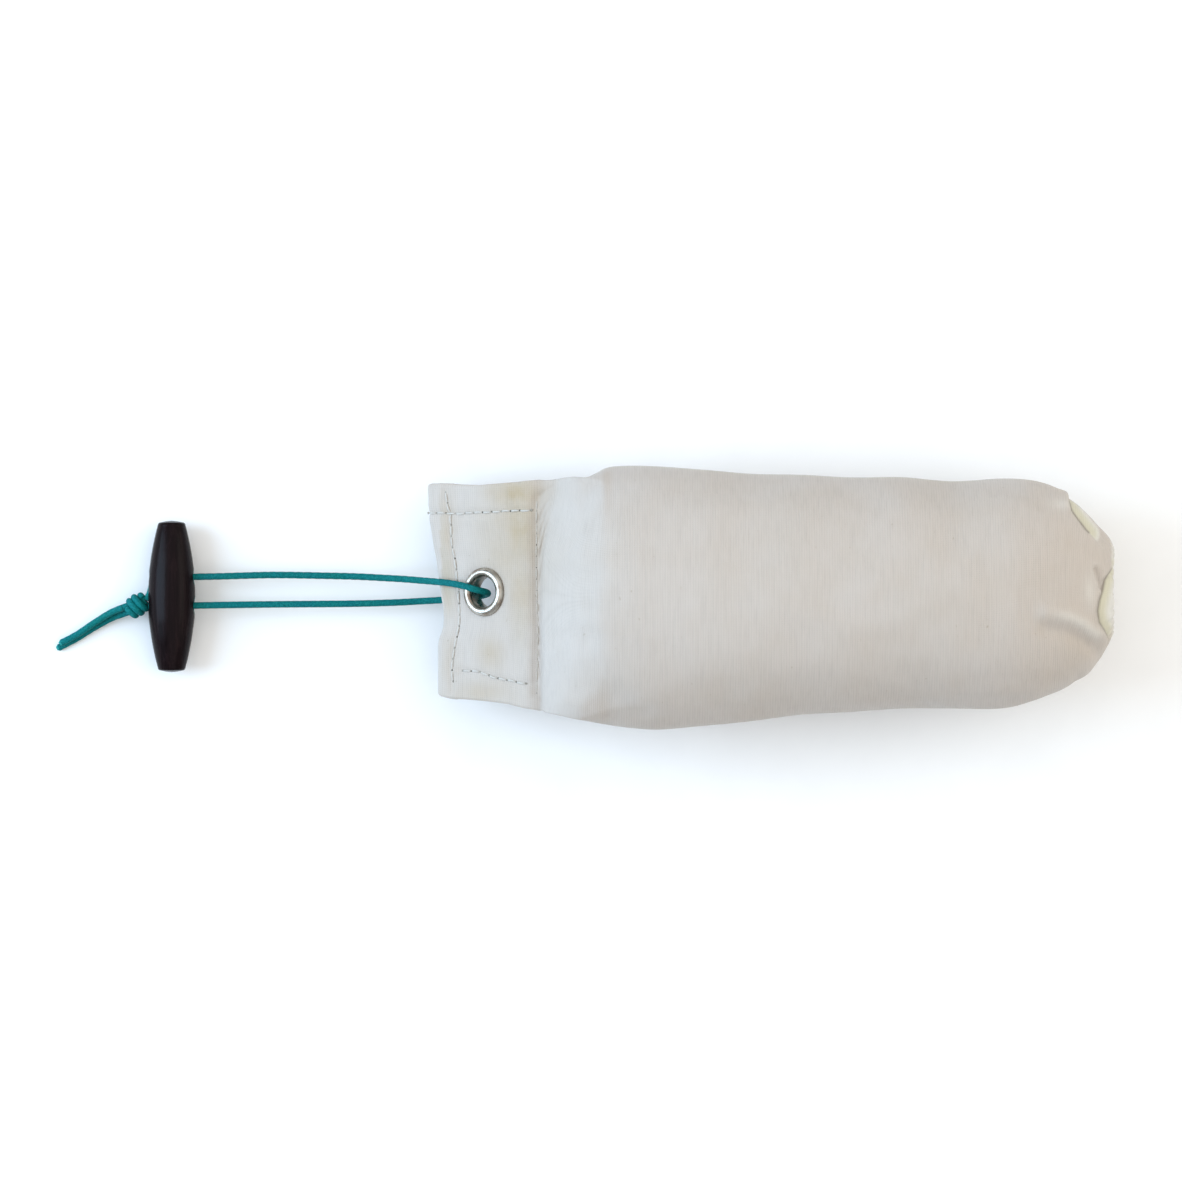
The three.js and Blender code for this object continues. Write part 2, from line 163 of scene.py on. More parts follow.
# Every row of stitches, and how deep it presses the cloth.
FURROWS = ((HEM_ROW, 0.34), (SIDE_ROW_HIGH, 0.34), (SIDE_ROW_LOW, 0.34), (CLOSING_ROW, 0.5))
STITCH_PITCH = 3.0
PLY_HEIGHT = 1.45  # of a ply's outer face over the flap's middle plane
BEND_HALF = 2.3  # the flap's cloth bends this far on each side of the fold line


def smooth(start, end, value):
    part = np.clip((value - start) / (end - start), 0.0, 1.0)
    return part * part * (3.0 - 2.0 * part)


def bump(value, middle, width):
    return np.exp(-(((value - middle) / width) ** 2))


def running_total(steps):
    return np.concatenate([[0.0], np.cumsum(steps)])


def length_along(points):
    """Length gone at each point of a polyline."""
    return running_total(np.linalg.norm(np.diff(points, axis=0), axis=1))


def with_ends(rows):
    """The rows with one more point past each end, for a Catmull-Rom curve."""
    return np.vstack([2 * rows[0] - rows[1], rows, 2 * rows[-1] - rows[-2]])


def curve_points(p0, p1, p2, p3, count):
    """Points on one piece of a Catmull-Rom curve, from p1 up to p2."""
    return [0.5 * (2 * p1 + (p2 - p0) * t + (2 * p0 - 5 * p1 + 4 * p2 - p3) * t**2
                   + (3 * p1 - p0 - 3 * p2 + p3) * t**3)
            for t in np.linspace(0.0, 1.0, count, endpoint=False)]


def ring_spacing(x):
    """Distance between the canvas rings: closer at both ends of the tube."""
    if x > 76:
        return 0.32
    if x > 66:
        return 0.6
    return 0.7 if x < -44 else 1.0


def tube_rows():
    """Rows along a smooth curve through the tube's rows, a ring's spacing apart."""
    padded = with_ends(TUBE)
    fine = []
    for i in range(1, len(padded) - 2):
        fine += curve_points(*padded[i - 1:i + 3], 40)
    fine.append(TUBE[-1])
    kept = [fine[0]]
    gone = 0.0
    for before, now in zip(fine, fine[1:]):
        gone += np.hypot(now[0] - before[0], now[3] - before[3])
        if gone >= ring_spacing(now[0]):
            kept.append(now)
            gone = 0.0
    return np.array(kept)


def crease(plan, route, to_end=(1.0, 0.0)):
    """Distance of each 2-D point from a route, and 1 for the points past it, toward to_end."""
    route = np.array(route)
    gap = np.full(plan.shape[:-1], 1e9)
    past = np.zeros(plan.shape[:-1])
    for start, end in zip(route[:-1], route[1:]):
        along = end - start
        t = np.clip(((plan - start) @ along) / (along @ along), 0.0, 1.0)
        away = plan - start - t[..., None] * along
        distance = np.linalg.norm(away, axis=-1)
        past = np.where(distance < gap, away @ np.array(to_end), past)
        gap = np.minimum(gap, distance)
    return gap, past_step(past)


def past_step(past):
    """From 0 to 1 as the way past a line goes from just before it to just beyond it."""
    return smooth(-0.4, 0.45, past)


def route_bump(plan, route, width):
    """1 on a route of straight pieces, and less with the distance from it."""
    return bump(crease(plan, route)[0], 0.0, width)


def mouth_reach(y):
    """How far the mouth's edge is from the fold line, its corners slightly rounded."""
    nodes = np.linspace(-32.0, 32.0, 65)
    edge = np.interp(nodes, MOUTH_EDGE[:, 1], MOUTH_EDGE[:, 0])
    soft = np.convolve(np.pad(edge, 1, mode="edge"), np.ones(3) / 3, mode="valid")
    return np.interp(y, nodes, soft)


def hem_start(y):
    """Where the cloth turned in at the mouth begins."""
    row = np.array(HEM_ROW)[::-1]
    return np.interp(y, row[:, 1], row[:, 0]) - HEM_EXTRA


def flap_height(reach, y, side):
    """Height of a ply's outer face from the flap's middle plane. side is 1 above, -1 below."""
    points = np.stack(np.broadcast_arrays(reach, y), axis=-1).astype(float)
    reach, y = points[..., 0], points[..., 1]
    rim = mouth_reach(y)
    height = np.full(reach.shape, PLY_HEIGHT)
    # Over the tucks, over the cloth turned in at the mouth, and down at the rim.
    height += 0.22 * np.maximum(smooth(10.0, 13.5, y), smooth(-8.5, -12.0, y))
    height += 0.33 * smooth(hem_start(y) - 0.5, hem_start(y) + 0.3, reach)
    height -= 0.35 * smooth(rim - 0.9, rim, reach)
    for row, depth in FURROWS:
        gap, _ = crease(points, row)
        height -= depth * bump(gap, 0.0, 0.75)
        height += 0.14 * bump(gap, 2.0, 1.1)
    # Pressed down by the eyelet and raised around it.
    ring = np.hypot(reach - EYELET_REACH, y - EYELET_Y)
    height -= 0.15 * bump(ring, 6.3, 0.9)
    height += 0.16 * bump(ring, 8.6, 1.6)
    wave = np.sin(reach * 0.31 + 0.6 * side) * np.sin(y * 0.17 + 1.1)
    height += 0.16 * wave * smooth(-1.0, 4.0, reach)
    pucker = np.sin(y * 1.15 + 0.8 * np.sin(y * 0.37)) * np.exp(-np.abs(reach + 1.7) / 3.2)
    height += 0.13 * pucker
    return height


def fold_line_table():
    """Across the fold line: reach, and the slope and place of the flap's middle plane there."""
    reach = np.linspace(-BEND_HALF, BEND_HALF, 61)
    angle = DROOP * smooth(-BEND_HALF, BEND_HALF, reach)
    step = reach[1] - reach[0]
    x = FOLD_X + BEND_HALF - running_total(np.cos(angle[:-1]) * step)
    z = FOLD_Z - running_total(np.sin(angle[:-1]) * step)
    return reach, angle, x, z


BEND = fold_line_table()


def flap_world(reach, y, height):
    """From the flat flap to its place at rest."""
    angle, x, z = (np.interp(reach, BEND[0], column) for column in BEND[1:])
    past = np.maximum(reach - BEND_HALF, 0.0)
    before = np.minimum(reach + BEND_HALF, 0.0)
    x = x - past * math.cos(DROOP) - before
    z = z - past * math.sin(DROOP)
    return np.stack([x - height * np.sin(angle), np.broadcast_to(y, np.shape(x)),
                     z + height * np.cos(angle)], axis=-1)


# A point just past the bend at the fold line, on the flap's middle plane, in metres.
BLEND_END = tuple(flap_world(np.array(BEND_HALF + 0.6), 0.0, np.array(0.0)) * MM)


# ---- Columns of the canvas mesh, around the tube ----

TOP_COLUMNS = 104
EDGE_COLUMNS = 6
LEAF_COLUMNS = 20
CORNER_ANGLE = 35.0  # the top of the tube runs between this angle and its mirror image
FLAP_RINGS, MOUTH_RINGS, INNER_RINGS = 46, 4, 34
LIP = 0.12  # half of the gap between the two leaves of a tuck
EDGE_RADIUS = 0.7  # of the flap's folded side edges


def column_places():
    """Of each column: across, level, turn, inward and sign.

    across is 0 at the +Y edge and 1 at the -Y edge. level is 1 on the upper ply, -1 on the lower
    one and 0 in a tuck. turn counts half turns round the folded edge. inward is 0 at the edge and
    1 at the tuck's inner fold. sign is 1 on an upper leaf and -1 on a lower one.
    """
    rows = []
    for ply, across in ((1, 1.0), (-1, 0.0)):
        start = 1.0 - across
        edge = [(across, 0.0, k / EDGE_COLUMNS, 0.0) for k in range(EDGE_COLUMNS)]
        tuck = [(across, 0.0, 1.0, k / LEAF_COLUMNS) for k in range(LEAF_COLUMNS)]
        rows += [(start + (across - start) * k / TOP_COLUMNS, ply, 0.0, 0.0, ply)
                 for k in range(TOP_COLUMNS)]
        rows += [(*row, ply) for row in edge + tuck]
        rows.append((across, 0.0, 1.0, 1.0, 0.0))
        rows += [(*row, -ply) for row in tuck[::-1] + edge[:0:-1]]
    return np.array(rows, dtype=float).T


def column_angles():
    """Of each column: its angle from +Y toward the top, in step with the cloth's length."""
    edge, leaf = 0.4, TUCK_DEPTH / LEAF_COLUMNS
    side = np.array([edge] * EDGE_COLUMNS + [leaf] * 2 * LEAF_COLUMNS + [edge] * EDGE_COLUMNS)
    side = side / side.sum() * 2 * CORNER_ANGLE
    face = np.full(TOP_COLUMNS, (180.0 - 2 * CORNER_ANGLE) / TOP_COLUMNS)
    steps = np.concatenate([face, side, face, side])
    return np.radians(CORNER_ANGLE + running_total(steps[:-1]))


ACROSS, LEVEL, TURN, INWARD, SIGN = column_places()
ANGLE = column_angles()


def tube_ring(x, y_high, y_low, half):
    """One section of the stuffed tube, with its sides tucked in near the seam."""
    flat = 1.0 - min(half / TUBE_HALF, 1.0)
    far = smooth(20.0, 60.0, x)
    # Round where the tube is full, and squarer as it turns flat toward the seam.
    power = 2.0 / (2.12 + (6.0 * flat**3) * (1.0 - far) + 0.5 * flat * far)
    cos, sin = np.cos(ANGLE), np.sin(ANGLE)
    width = (y_high - y_low) / 2
    across = width * np.sign(cos) * np.abs(cos) ** power
    up = half * np.sign(sin) * np.abs(sin) ** power
    girth = math.pi * (3 * (width + half) - math.sqrt((3 * width + half) * (width + 3 * half)))
    spare = np.clip((TUBE_GIRTH - girth) / 4, 0.0, TUCK_DEPTH) * (1 - smooth(-45.0, -30.0, x))
    across = across - np.sign(cos) * spare * INWARD**1.15
    across = across * width / np.abs(across).max()
    z = AXIS_Z + up
    soft = 1.2  # the tube turns flat within this height of the floor
    z = np.where(z < soft, np.maximum((z + soft) ** 2 / (4 * soft), 0.0), z)
    z = np.where(AXIS_Z + up < -soft, 0.0, z)
    y = (y_high + y_low) / 2 + across
    # The tube rises later from the seam at the +Y side.
    late = 3.4 * smooth(8.0, 30.0, y) * smooth(-61.0, -59.6, x) * (1 - smooth(-56.0, -38.0, x))
    return np.stack([x + late, y, z], axis=-1)


def flap_section(reach_part, inside):
    """One section of the flap. inside gives the cloth's inner faces."""
    edge_high, edge_low = (
        np.interp(SEAM_REACH + (edge[-1, 0] - SEAM_REACH) * reach_part, edge[:, 0], edge[:, 1])
        for edge in (HIGH_EDGE, LOW_EDGE))
    edge_high, edge_low = edge_high - EDGE_RADIUS, edge_low + EDGE_RADIUS
    edge = np.where(ACROSS < 0.5, edge_high, edge_low)
    out = np.where(ACROSS < 0.5, 1.0, -1.0)
    y = np.where(LEVEL != 0, edge_high + (edge_low - edge_high) * ACROSS, edge)
    y = y - out * TUCK_DEPTH * INWARD * (LEVEL == 0)
    reach = SEAM_REACH + (mouth_reach(y) - SEAM_REACH) * reach_part
    face = flap_height(reach, y, SIGN)
    lip = LIP + np.zeros_like(face)
    if inside:
        hem = smooth(hem_start(y) - 0.8, hem_start(y), reach)
        face = np.maximum(face - 0.5 - 0.42 * hem, 0.62)
        lip = lip + 0.4
    middle, radius = (face + lip) / 2, (face - lip) / 2
    round_edge = (LEVEL == 0) & (TURN < 1.0)
    height = np.where(LEVEL != 0, face, np.where(round_edge,
                      middle + radius * np.cos(TURN * math.pi), lip))
    y = y + out * np.where(round_edge, radius * np.sin(TURN * math.pi), 0.0)
    return reach, y, height * SIGN


def canvas_rings():
    """Rings of the whole cloth: tube from its far end to the seam, flap, mouth and inner faces."""
    rows = tube_rows()[::-1]
    seam_ring = flap_world(*flap_section(0.0, False))
    rings = []
    for x, y_high, y_low, half in rows[:-1]:
        ring = tube_ring(x, y_high, y_low, half)
        near = smooth(-59.7, -61.0, x)  # close to the seam, the tube takes the flap's section
        flat_ring = seam_ring + np.array([x - seam_ring[0, 0], 0.0, 0.0])
        rings.append(ring * (1 - near) + flat_ring * near)
    tube_count = len(rings)
    rings += [flap_world(*flap_section(part, False))
              for part in np.linspace(0.0, 1.0, FLAP_RINGS)]
    # The mouth's round edge, from the outer faces to the inner ones.
    outer = flap_section(1.0, False)
    inner = flap_section(1.0, True)
    for turn in np.linspace(0.0, math.pi, MOUTH_RINGS + 2)[1:-1]:
        share = (1 - math.cos(turn)) / 2
        y = outer[1] + (inner[1] - outer[1]) * share
        height = outer[2] + (inner[2] - outer[2]) * share
        swell = np.abs(outer[2] - inner[2]) / 2 * math.sin(turn)
        rings.append(flap_world(outer[0] + swell, y, height))
    rings += [flap_world(*flap_section(part, True))
              for part in np.linspace(1.0, 0.0, INNER_RINGS)]
    return np.array(rings), tube_count


def cloth_normals(rings):
    """The outward direction at every point of a grid of rings."""
    along = np.gradient(rings, axis=0)
    around = (np.roll(rings, -1, axis=1) - np.roll(rings, 1, axis=1)) / 2
    normal = np.cross(along, around)
    length = np.linalg.norm(normal, axis=-1, keepdims=True)
    return normal / np.maximum(length, 1e-9)


def noise_field(points, scale, seed):
    """Smooth noise at every point; scale is one over the waves' size."""
    shift = Vector((seed * 17.3, seed * 5.1, seed * 9.7))
    flat = points.reshape(-1, 3)
    values = [noise.noise(Vector(p) * scale + shift) for p in flat]
    return np.array(values).reshape(points.shape[:-1])


# Creases at the far end, seen from above: the cloth turns in over the end along these lines.
END_FOLD_A = [(78.4, 28.0), (78.2, 24.8), (78.7, 22.6), (80.2, 20.4), (82.2, 17.8), (83.0, 17.0)]
END_FOLD_B = [(89.3, 7.6), (87.1, 4.7), (86.5, 1.8), (85.6, -0.7), (85.1, -3.6), (85.6, -6.5),
              (87.2, -8.7), (88.6, -10.9), (88.4, -13.2)]
END_PINCH = [(84.9, 7.4), (85.5, 4.9), (86.0, 2.6)]
# Of each: the crease, the way to the end, the depth, its lowest part's height over the axis, and
# how far past the crease the cloth is pale.
END_FOLDS = ((END_FOLD_A, (0.7, 0.7), 1.2, -3.0, 2.6), (END_FOLD_B, (1.0, 0.0), 1.4, 3.0, 6.5))
# A ridge that runs to the second crease, with a dent beside it, toward -Y.
END_RIDGE = [(71.5, -4.0), (77.5, -5.0), (81.5, -6.9), (85.0, -9.6)]
RIDGE_WIDTH = 2.3
DENT_SHIFT = np.array([0.0, 4.6])
# Under the end, the two creases are joined by a rim: its x at the bottom, and how far it slants.
END_MIDDLE_Y = 1.7
END_RIM_X = 83.4
END_RIM_SLANT = 4.8
# Gathers that run into the seam at the far end: angle and half width in degrees, depth, and the x
# where each begins.
END_GATHERS = [(12, 4, 0.8, 81), (29, 3, 0.5, 85), (44, 3, 0.4, 87), (61, 4, 0.4, 87),
               (76, 3, 0.35, 88), (92, 4, 0.4, 87), (109, 3, 0.35, 88), (123, 4, 0.4, 87),
               (139, 3, 0.4, 87), (153, 3, 0.6, 86), (169, 4, 0.8, 82), (190, 4, 1.0, 79),
               (207, 3.5, 0.9, 77), (226, 4, 1.2, 78), (243, 3, 0.8, 81), (259, 4.5, 1.2, 76),
               (277, 3.5, 0.9, 79), (296, 4, 1.2, 77), (314, 3, 0.8, 80), (333, 4.5, 1.2, 78),
               (350, 3, 0.7, 81)]


def end_creases(x, y, z):
    """Of each crease at the far end: distance, 1 beyond it, where it shows, depth, pale reach."""
    plan = np.stack([x, y], axis=-1)
    found = []
    for route, to_end, depth, lowest, pale_reach in END_FOLDS:
        shown = smooth(AXIS_Z + lowest, AXIS_Z + lowest + 6.0, z)
        found.append((*crease(plan, route, to_end), shown, depth, pale_reach))
    sideways = (y - END_MIDDLE_Y) / np.hypot(y - END_MIDDLE_Y, z - AXIS_Z)
    past = x - END_RIM_X + END_RIM_SLANT * sideways
    below = 1.0 - smooth(AXIS_Z - 5.0, AXIS_Z + 1.0, z)
    found.append((np.abs(past), past_step(past), below, 0.9, 99.0))
    return found


def end_shape(rings, tube_count):
    """Displacement outward at the far end: folds over the end, gathers and soft dents."""
    x, y, z = rings[..., 0], rings[..., 1], rings[..., 2]
    plan = rings[..., :2]
    upper = smooth(AXIS_Z + 1.0, AXIS_Z + 8.0, z)
    out = np.zeros(x.shape)
    for gap, beyond, shown, depth, _ in end_creases(x, y, z):
        out -= depth * beyond * np.exp(-gap / 2.2) * shown
        out += 0.45 * (1 - beyond) * bump(gap, 1.0, 1.3) * shown
    out -= 1.1 * route_bump(plan, END_PINCH, 0.8) * upper
    out += 1.1 * route_bump(plan, END_RIDGE, RIDGE_WIDTH) * upper
    out -= 0.8 * route_bump(plan + DENT_SHIFT, END_RIDGE, RIDGE_WIDTH) * upper
    # The rings before the foremost one lie inside the end's slit.
    front = x[:tube_count].mean(axis=1).argmax()
    toward_end = x.copy()
    toward_end[:front] = x[front]
    for middle, width, depth, start in END_GATHERS:
        turn = (np.degrees(ANGLE) - middle + 180.0) % 360.0 - 180.0
        out -= depth * bump(turn, 0.0, width) * smooth(start, x[front].mean(), toward_end)
    # The furrow that runs on from the slit, on both sides.
    beside_slit = np.abs(y - 1.6) > 8
    out -= 0.9 * bump(z, AXIS_Z, 0.8) * smooth(73.0, 82.0, x) * beside_slit
    out[:front] *= np.linspace(0.0, 1.0, front)[:, None]
    out[tube_count:] = 0.0
    return out


LONG_SEAM_ANGLE = 255.0  # from +Y over the top, so it lies underneath


def tube_relief(rings, tube_count):
    """Displacement outward over the stuffed tube: dents, puckers at the seam, the long seam."""
    x, y, z = rings[..., 0], rings[..., 1], rings[..., 2]
    out = 0.55 * noise_field(rings * np.array([0.7, 1.0, 1.0]), 1 / 26.0, 1)
    out += 0.22 * noise_field(rings, 1 / 9.0, 2)
    shoulder = smooth(-61.0, -57.0, x) * (1 - smooth(-52.0, -38.0, x))
    waves = np.sin(y * 0.62 + 1.6 * np.sin(y * 0.13 + 0.5))
    out += 0.2 * waves * shoulder
    angle = np.degrees(np.arctan2(z - AXIS_Z, y)) % 360.0
    seam = np.radians(angle - LONG_SEAM_ANGLE + 2.0 * np.sin(x * 0.05)) * TUBE_HALF
    out -= 0.7 * bump(seam, 0.0, 0.7)
    out += 0.28 * bump(seam, 2.6, 1.6)
    out *= smooth(0.05, 2.5, z) * smooth(-61.0, -58.5, x)
    out[tube_count:] = 0.0
    return out


def grid_faces(rows, columns, offset=0):
    """The quads between rings that follow each other."""
    faces = []
    for row in range(rows - 1):
        a = offset + row * columns
        for k in range(columns):
            after = (k + 1) % columns
            faces.append((a + k, a + after, a + columns + after, a + columns + k))
    return faces


def tube_faces(rows, sides, offset=0):
    """The quads between rings, and a face at each end."""
    faces = grid_faces(rows, sides, offset)
    faces.append(tuple(offset + k for k in reversed(range(sides))))
    faces.append(tuple(offset + (rows - 1) * sides + k for k in range(sides)))
    return faces


def make_object(name, vertices, faces, material, smooth_shaded=True):
    mesh = bpy.data.meshes.new(name)
    mesh.from_pydata([tuple(v) for v in np.asarray(vertices) * MM], [], faces)
    mesh.update()
    mesh.materials.append(material)
    if smooth_shaded:
        mesh.polygons.foreach_set("use_smooth", [True] * len(mesh.polygons))
    piece = bpy.data.objects.new(name, mesh)
    bpy.context.collection.objects.link(piece)
    return piece


def fix_normals(piece):
    mesh = bmesh.new()
    mesh.from_mesh(piece.data)
    bmesh.ops.recalc_face_normals(mesh, faces=mesh.faces)
    mesh.to_mesh(piece.data)
    mesh.free()


def closed_object(*description):
    """What make_object gives, with all faces turned outward."""
    piece = make_object(*description)
    fix_normals(piece)
    return piece


def vertex_values(mesh, key):
    """A row of three for each vertex."""
    values = np.empty(len(mesh.vertices) * 3)
    mesh.vertices.foreach_get(key, values)
    return values.reshape(-1, 3)


# ---- Wrinkles of the stuffed tube, from a cloth simulation ----

SIM_RING_STEP = 3  # the simulated copy keeps every third ring and every fourth column
SIM_COLUMN_STEP = 4
SIM_SPACING = 2.4  # of its points, about
SIM_FRAMES = 20
SIM_SETTINGS = {
    "quality": 6, "tension_stiffness": 30.0, "compression_stiffness": 30.0,
    "shear_stiffness": 10.0, "bending_stiffness": 0.3,
    "use_pressure": True, "uniform_pressure_force": 4.0,
    "shrink_min": -0.03,  # the cloth is 3 % larger than the shape it starts from
}
WRINKLE_CAP = 1.1
WRINKLE_SPREAD = 15.0  # wider waves than this are left to the measured shape


def simulate_cloth(points):
    """Blender's cloth on a grid of rings, blown up from inside; returns the settled points."""
    rows, columns = points.shape[:2]
    faces = grid_faces(rows, columns) + [tuple(reversed(range(columns)))]
    copy = closed_object("tube_simulation", points.reshape(-1, 3), faces, bpy.data.materials[0])
    pins = copy.vertex_groups.new(name="seam")
    for row in range(rows):
        hold = float(smooth(-50.0, -57.0, points[row, :, 0].mean()))
        if hold > 0.0:
            pins.add(list(range(row * columns, (row + 1) * columns)), hold, "REPLACE")
    modifier = copy.modifiers.new("cloth", "CLOTH")
    for key, value in SIM_SETTINGS.items():
        setattr(modifier.settings, key, value)
    modifier.settings.vertex_group_mass = "seam"
    modifier.settings.effector_weights.gravity = 0.0
    modifier.point_cache.frame_start = 1
    modifier.point_cache.frame_end = SIM_FRAMES
    scene = bpy.context.scene
    for number in range(1, SIM_FRAMES + 1):
        scene.frame_set(number)
    settled = copy.evaluated_get(bpy.context.evaluated_depsgraph_get()).data
    places = vertex_values(settled, "co")
    scene.frame_set(1)
    bpy.data.objects.remove(copy)
    return places.reshape(points.shape) / MM


def blur(field, width, axis, wrap):
    """Gaussian blur of a grid along one axis; width in grid steps."""
    reach = int(3 * width) + 1
    weights = np.exp(-((np.arange(-reach, reach + 1) / width) ** 2) / 2)
    weights /= weights.sum()
    margin = [(0, 0), (0, 0)]
    margin[axis] = (reach, reach)
    wide = np.pad(field, margin, mode="wrap" if wrap else "edge")
    return np.apply_along_axis(np.convolve, axis, wide, weights, mode="valid")


def simulated_wrinkles(rings, tube_count):
    """Height of the wrinkles that the simulation gives, along the cloth's normal."""
    out = np.zeros(rings.shape[:2])
    picked_rows = np.arange(0, tube_count, SIM_RING_STEP)
    picked_columns = np.arange(0, len(ANGLE), SIM_COLUMN_STEP)
    start = rings[np.ix_(picked_rows, picked_columns)]
    normal = cloth_normals(rings)[np.ix_(picked_rows, picked_columns)]
    moved = np.sum((simulate_cloth(start) - start) * normal, axis=-1)
    steps = WRINKLE_SPREAD / SIM_SPACING / 2
    wide = blur(blur(moved, steps, 0, False), steps, 1, True)
    wrinkle = np.clip(moved - wide, -WRINKLE_CAP, WRINKLE_CAP)
    rows = np.stack([np.interp(np.arange(tube_count), picked_rows, column)
                     for column in wrinkle.T], axis=1)
    closed = np.concatenate([rows, rows[:, :1]], axis=1)
    columns = np.append(picked_columns, len(ANGLE))
    fine = np.stack([np.interp(np.arange(len(ANGLE)), columns, row) for row in closed])
    out[:tube_count] = blur(blur(fine, 1.5, 0, False), 2.0, 1, True)
    return out


def relieved_rings():
    """The canvas rings with all relief, the tube's widths as measured, and no point below 0."""
    plain, tube_count = canvas_rings()
    relief = end_shape(plain, tube_count) + tube_relief(plain, tube_count)
    # The wrinkles are weaker on top, where the photo shows few, and end before the far end.
    calm = 1.0 - 0.55 * smooth(AXIS_Z + 4.0, AXIS_Z + 16.0, plain[..., 2])
    calm *= 1.0 - smooth(78.0, 87.0, plain[..., 0])
    relief += simulated_wrinkles(plain, tube_count) * calm
    rings = plain + cloth_normals(plain) * relief[..., None]
    for ring, before in zip(rings[:tube_count], plain):
        keep = smooth(80.0, 70.0, ring[0, 0])
        y = ring[:, 1]
        low, high = before[:, 1].min(), before[:, 1].max()
        fitted = low + (y - y.min()) * (high - low) / (y.max() - y.min())
        ring[:, 1] = y + (fitted - y) * keep
    rings[..., 2] = np.maximum(rings[..., 2], 0.0)
    return rings, tube_count


def canvas_piece(material):
    """The whole cloth as one mesh, closed at the far end and inside the flap."""
    rings, tube_count = relieved_rings()
    rows, columns = rings.shape[:2]
    faces = grid_faces(rows, columns)
    end_middle = rows * columns
    vertices = np.vstack([rings.reshape(-1, 3), rings[0].mean(axis=0) - (0.4, 0.0, 0.0)])
    for column in range(columns):
        faces.append((end_middle, (column + 1) % columns, column))
    last = (rows - 1) * columns
    outline = [Vector((p[1], p[2], 0.0)) for p in rings[-1]]
    for triangle in tessellate_polygon([outline]):
        faces.append(tuple(last + i for i in triangle))
    piece = make_object("canvas", vertices, faces, material)
    add_cloth_uv(piece, rings)
    fix_normals(piece)
    return piece, rings[:tube_count]


def inner_piece(name, tube_rings, inset, material):
    """A closed piece that follows the tube's inside, an inset away from the canvas."""
    inside = tube_rings - cloth_normals(tube_rings) * inset
    x = inside[..., 0].mean(axis=1)
    kept = inside[(x > INNER_START + inset) & (x < INNER_END - inset)][::3, ::4]
    return closed_object(name, kept.reshape(-1, 3), tube_faces(*kept.shape[:2]), material)


def add_cloth_uv(piece, rings):
    """UVs in metres of cloth: along the tube, and around it."""
    rows, columns = rings.shape[:2]
    steps = np.linalg.norm(np.diff(rings, axis=0), axis=-1)[:, :TOP_COLUMNS].mean(axis=1)
    along = running_total(steps) * MM
    around = (ANGLE - ANGLE[0]) * TUBE_GIRTH / (2 * math.pi) * MM
    layer = piece.data.uv_layers.new(name="cloth")
    for polygon in piece.data.polygons:
        places = [divmod(index, columns) for index in polygon.vertices]
        wraps = {0, columns - 1} <= {column for _, column in places}
        for loop, (row, column) in zip(polygon.loop_indices, places):
            turn = TUBE_GIRTH * MM if wraps and column == 0 else around[column]
            layer.data[loop].uv = (along[row], turn) if row < rows else (0.0, 0.0)


def cutter(name, start, end, radius_start, radius_end, sides):
    """A closed cylinder or cone between two points across y, to cut with."""
    start, end = Vector(start), Vector(end)
    axis = (end - start).normalized()
    u = axis.cross(Vector((0, 1, 0))).normalized()
    v = axis.cross(u)
    vertices = []
    for centre, radius in ((start, radius_start), (end, radius_end)):
        for k in range(sides):
            turn = 2 * math.pi * k / sides
            vertices.append(tuple(centre + (u * math.cos(turn) + v * math.sin(turn)) * radius))
    return closed_object(name, vertices, tube_faces(2, sides), bpy.data.materials[0], False)


def cut_away(piece, tools):
    """Boolean differences, applied one by one."""
    for tool in tools:
        modifier = piece.modifiers.new("cut", "BOOLEAN")
        modifier.operation = "DIFFERENCE"
        modifier.solver = "MANIFOLD"
        modifier.object = tool
        bpy.context.view_layer.update()
        graph = bpy.context.evaluated_depsgraph_get()
        cut_mesh = bpy.data.meshes.new_from_object(piece.evaluated_get(graph))
        piece.modifiers.clear()
        piece.data = cut_mesh
        bpy.data.objects.remove(tool)


# ---- Swept strands ----

def between(t, t_a, a, t_b, b):
    """The value at t on a straight line from a, at t_a, to b, at t_b."""
    return (t_b - t) / (t_b - t_a) * a + (t - t_a) / (t_b - t_a) * b


def smooth_route(points, step):
    """Points a step apart on the Catmull-Rom curve that the CAD model's strands follow."""
    rows = np.array(points, dtype=float)
    padded = with_ends(rows)
    fine = []
    for i in range(1, len(padded) - 2):
        p0, p1, p2, p3 = padded[i - 1:i + 3]
        lengths = np.linalg.norm([p1 - p0, p2 - p1, p3 - p2], axis=1)
        t0, t1, t2, t3 = running_total(np.maximum(lengths, 1e-6) ** 0.5)
        for t in np.linspace(t1, t2, 30, endpoint=False):
            a1 = between(t, t0, p0, t1, p1)
            a2 = between(t, t1, p1, t2, p2)
            a3 = between(t, t2, p2, t3, p3)
            b1 = between(t, t0, a1, t2, a2)
            b2 = between(t, t1, a2, t3, a3)
            fine.append(between(t, t1, b1, t2, b2))
    fine.append(rows[-1])
    fine = np.array(fine)
    gone = length_along(fine)
    count = max(2, int(round(gone[-1] / step)) + 1)
    wanted = np.linspace(0.0, gone[-1], count)
    return np.stack([np.interp(wanted, gone, fine[:, k]) for k in range(3)], axis=-1), wanted


def unit(vector):
    """The same direction, one long."""
    return vector / np.linalg.norm(vector, axis=-1, keepdims=True)


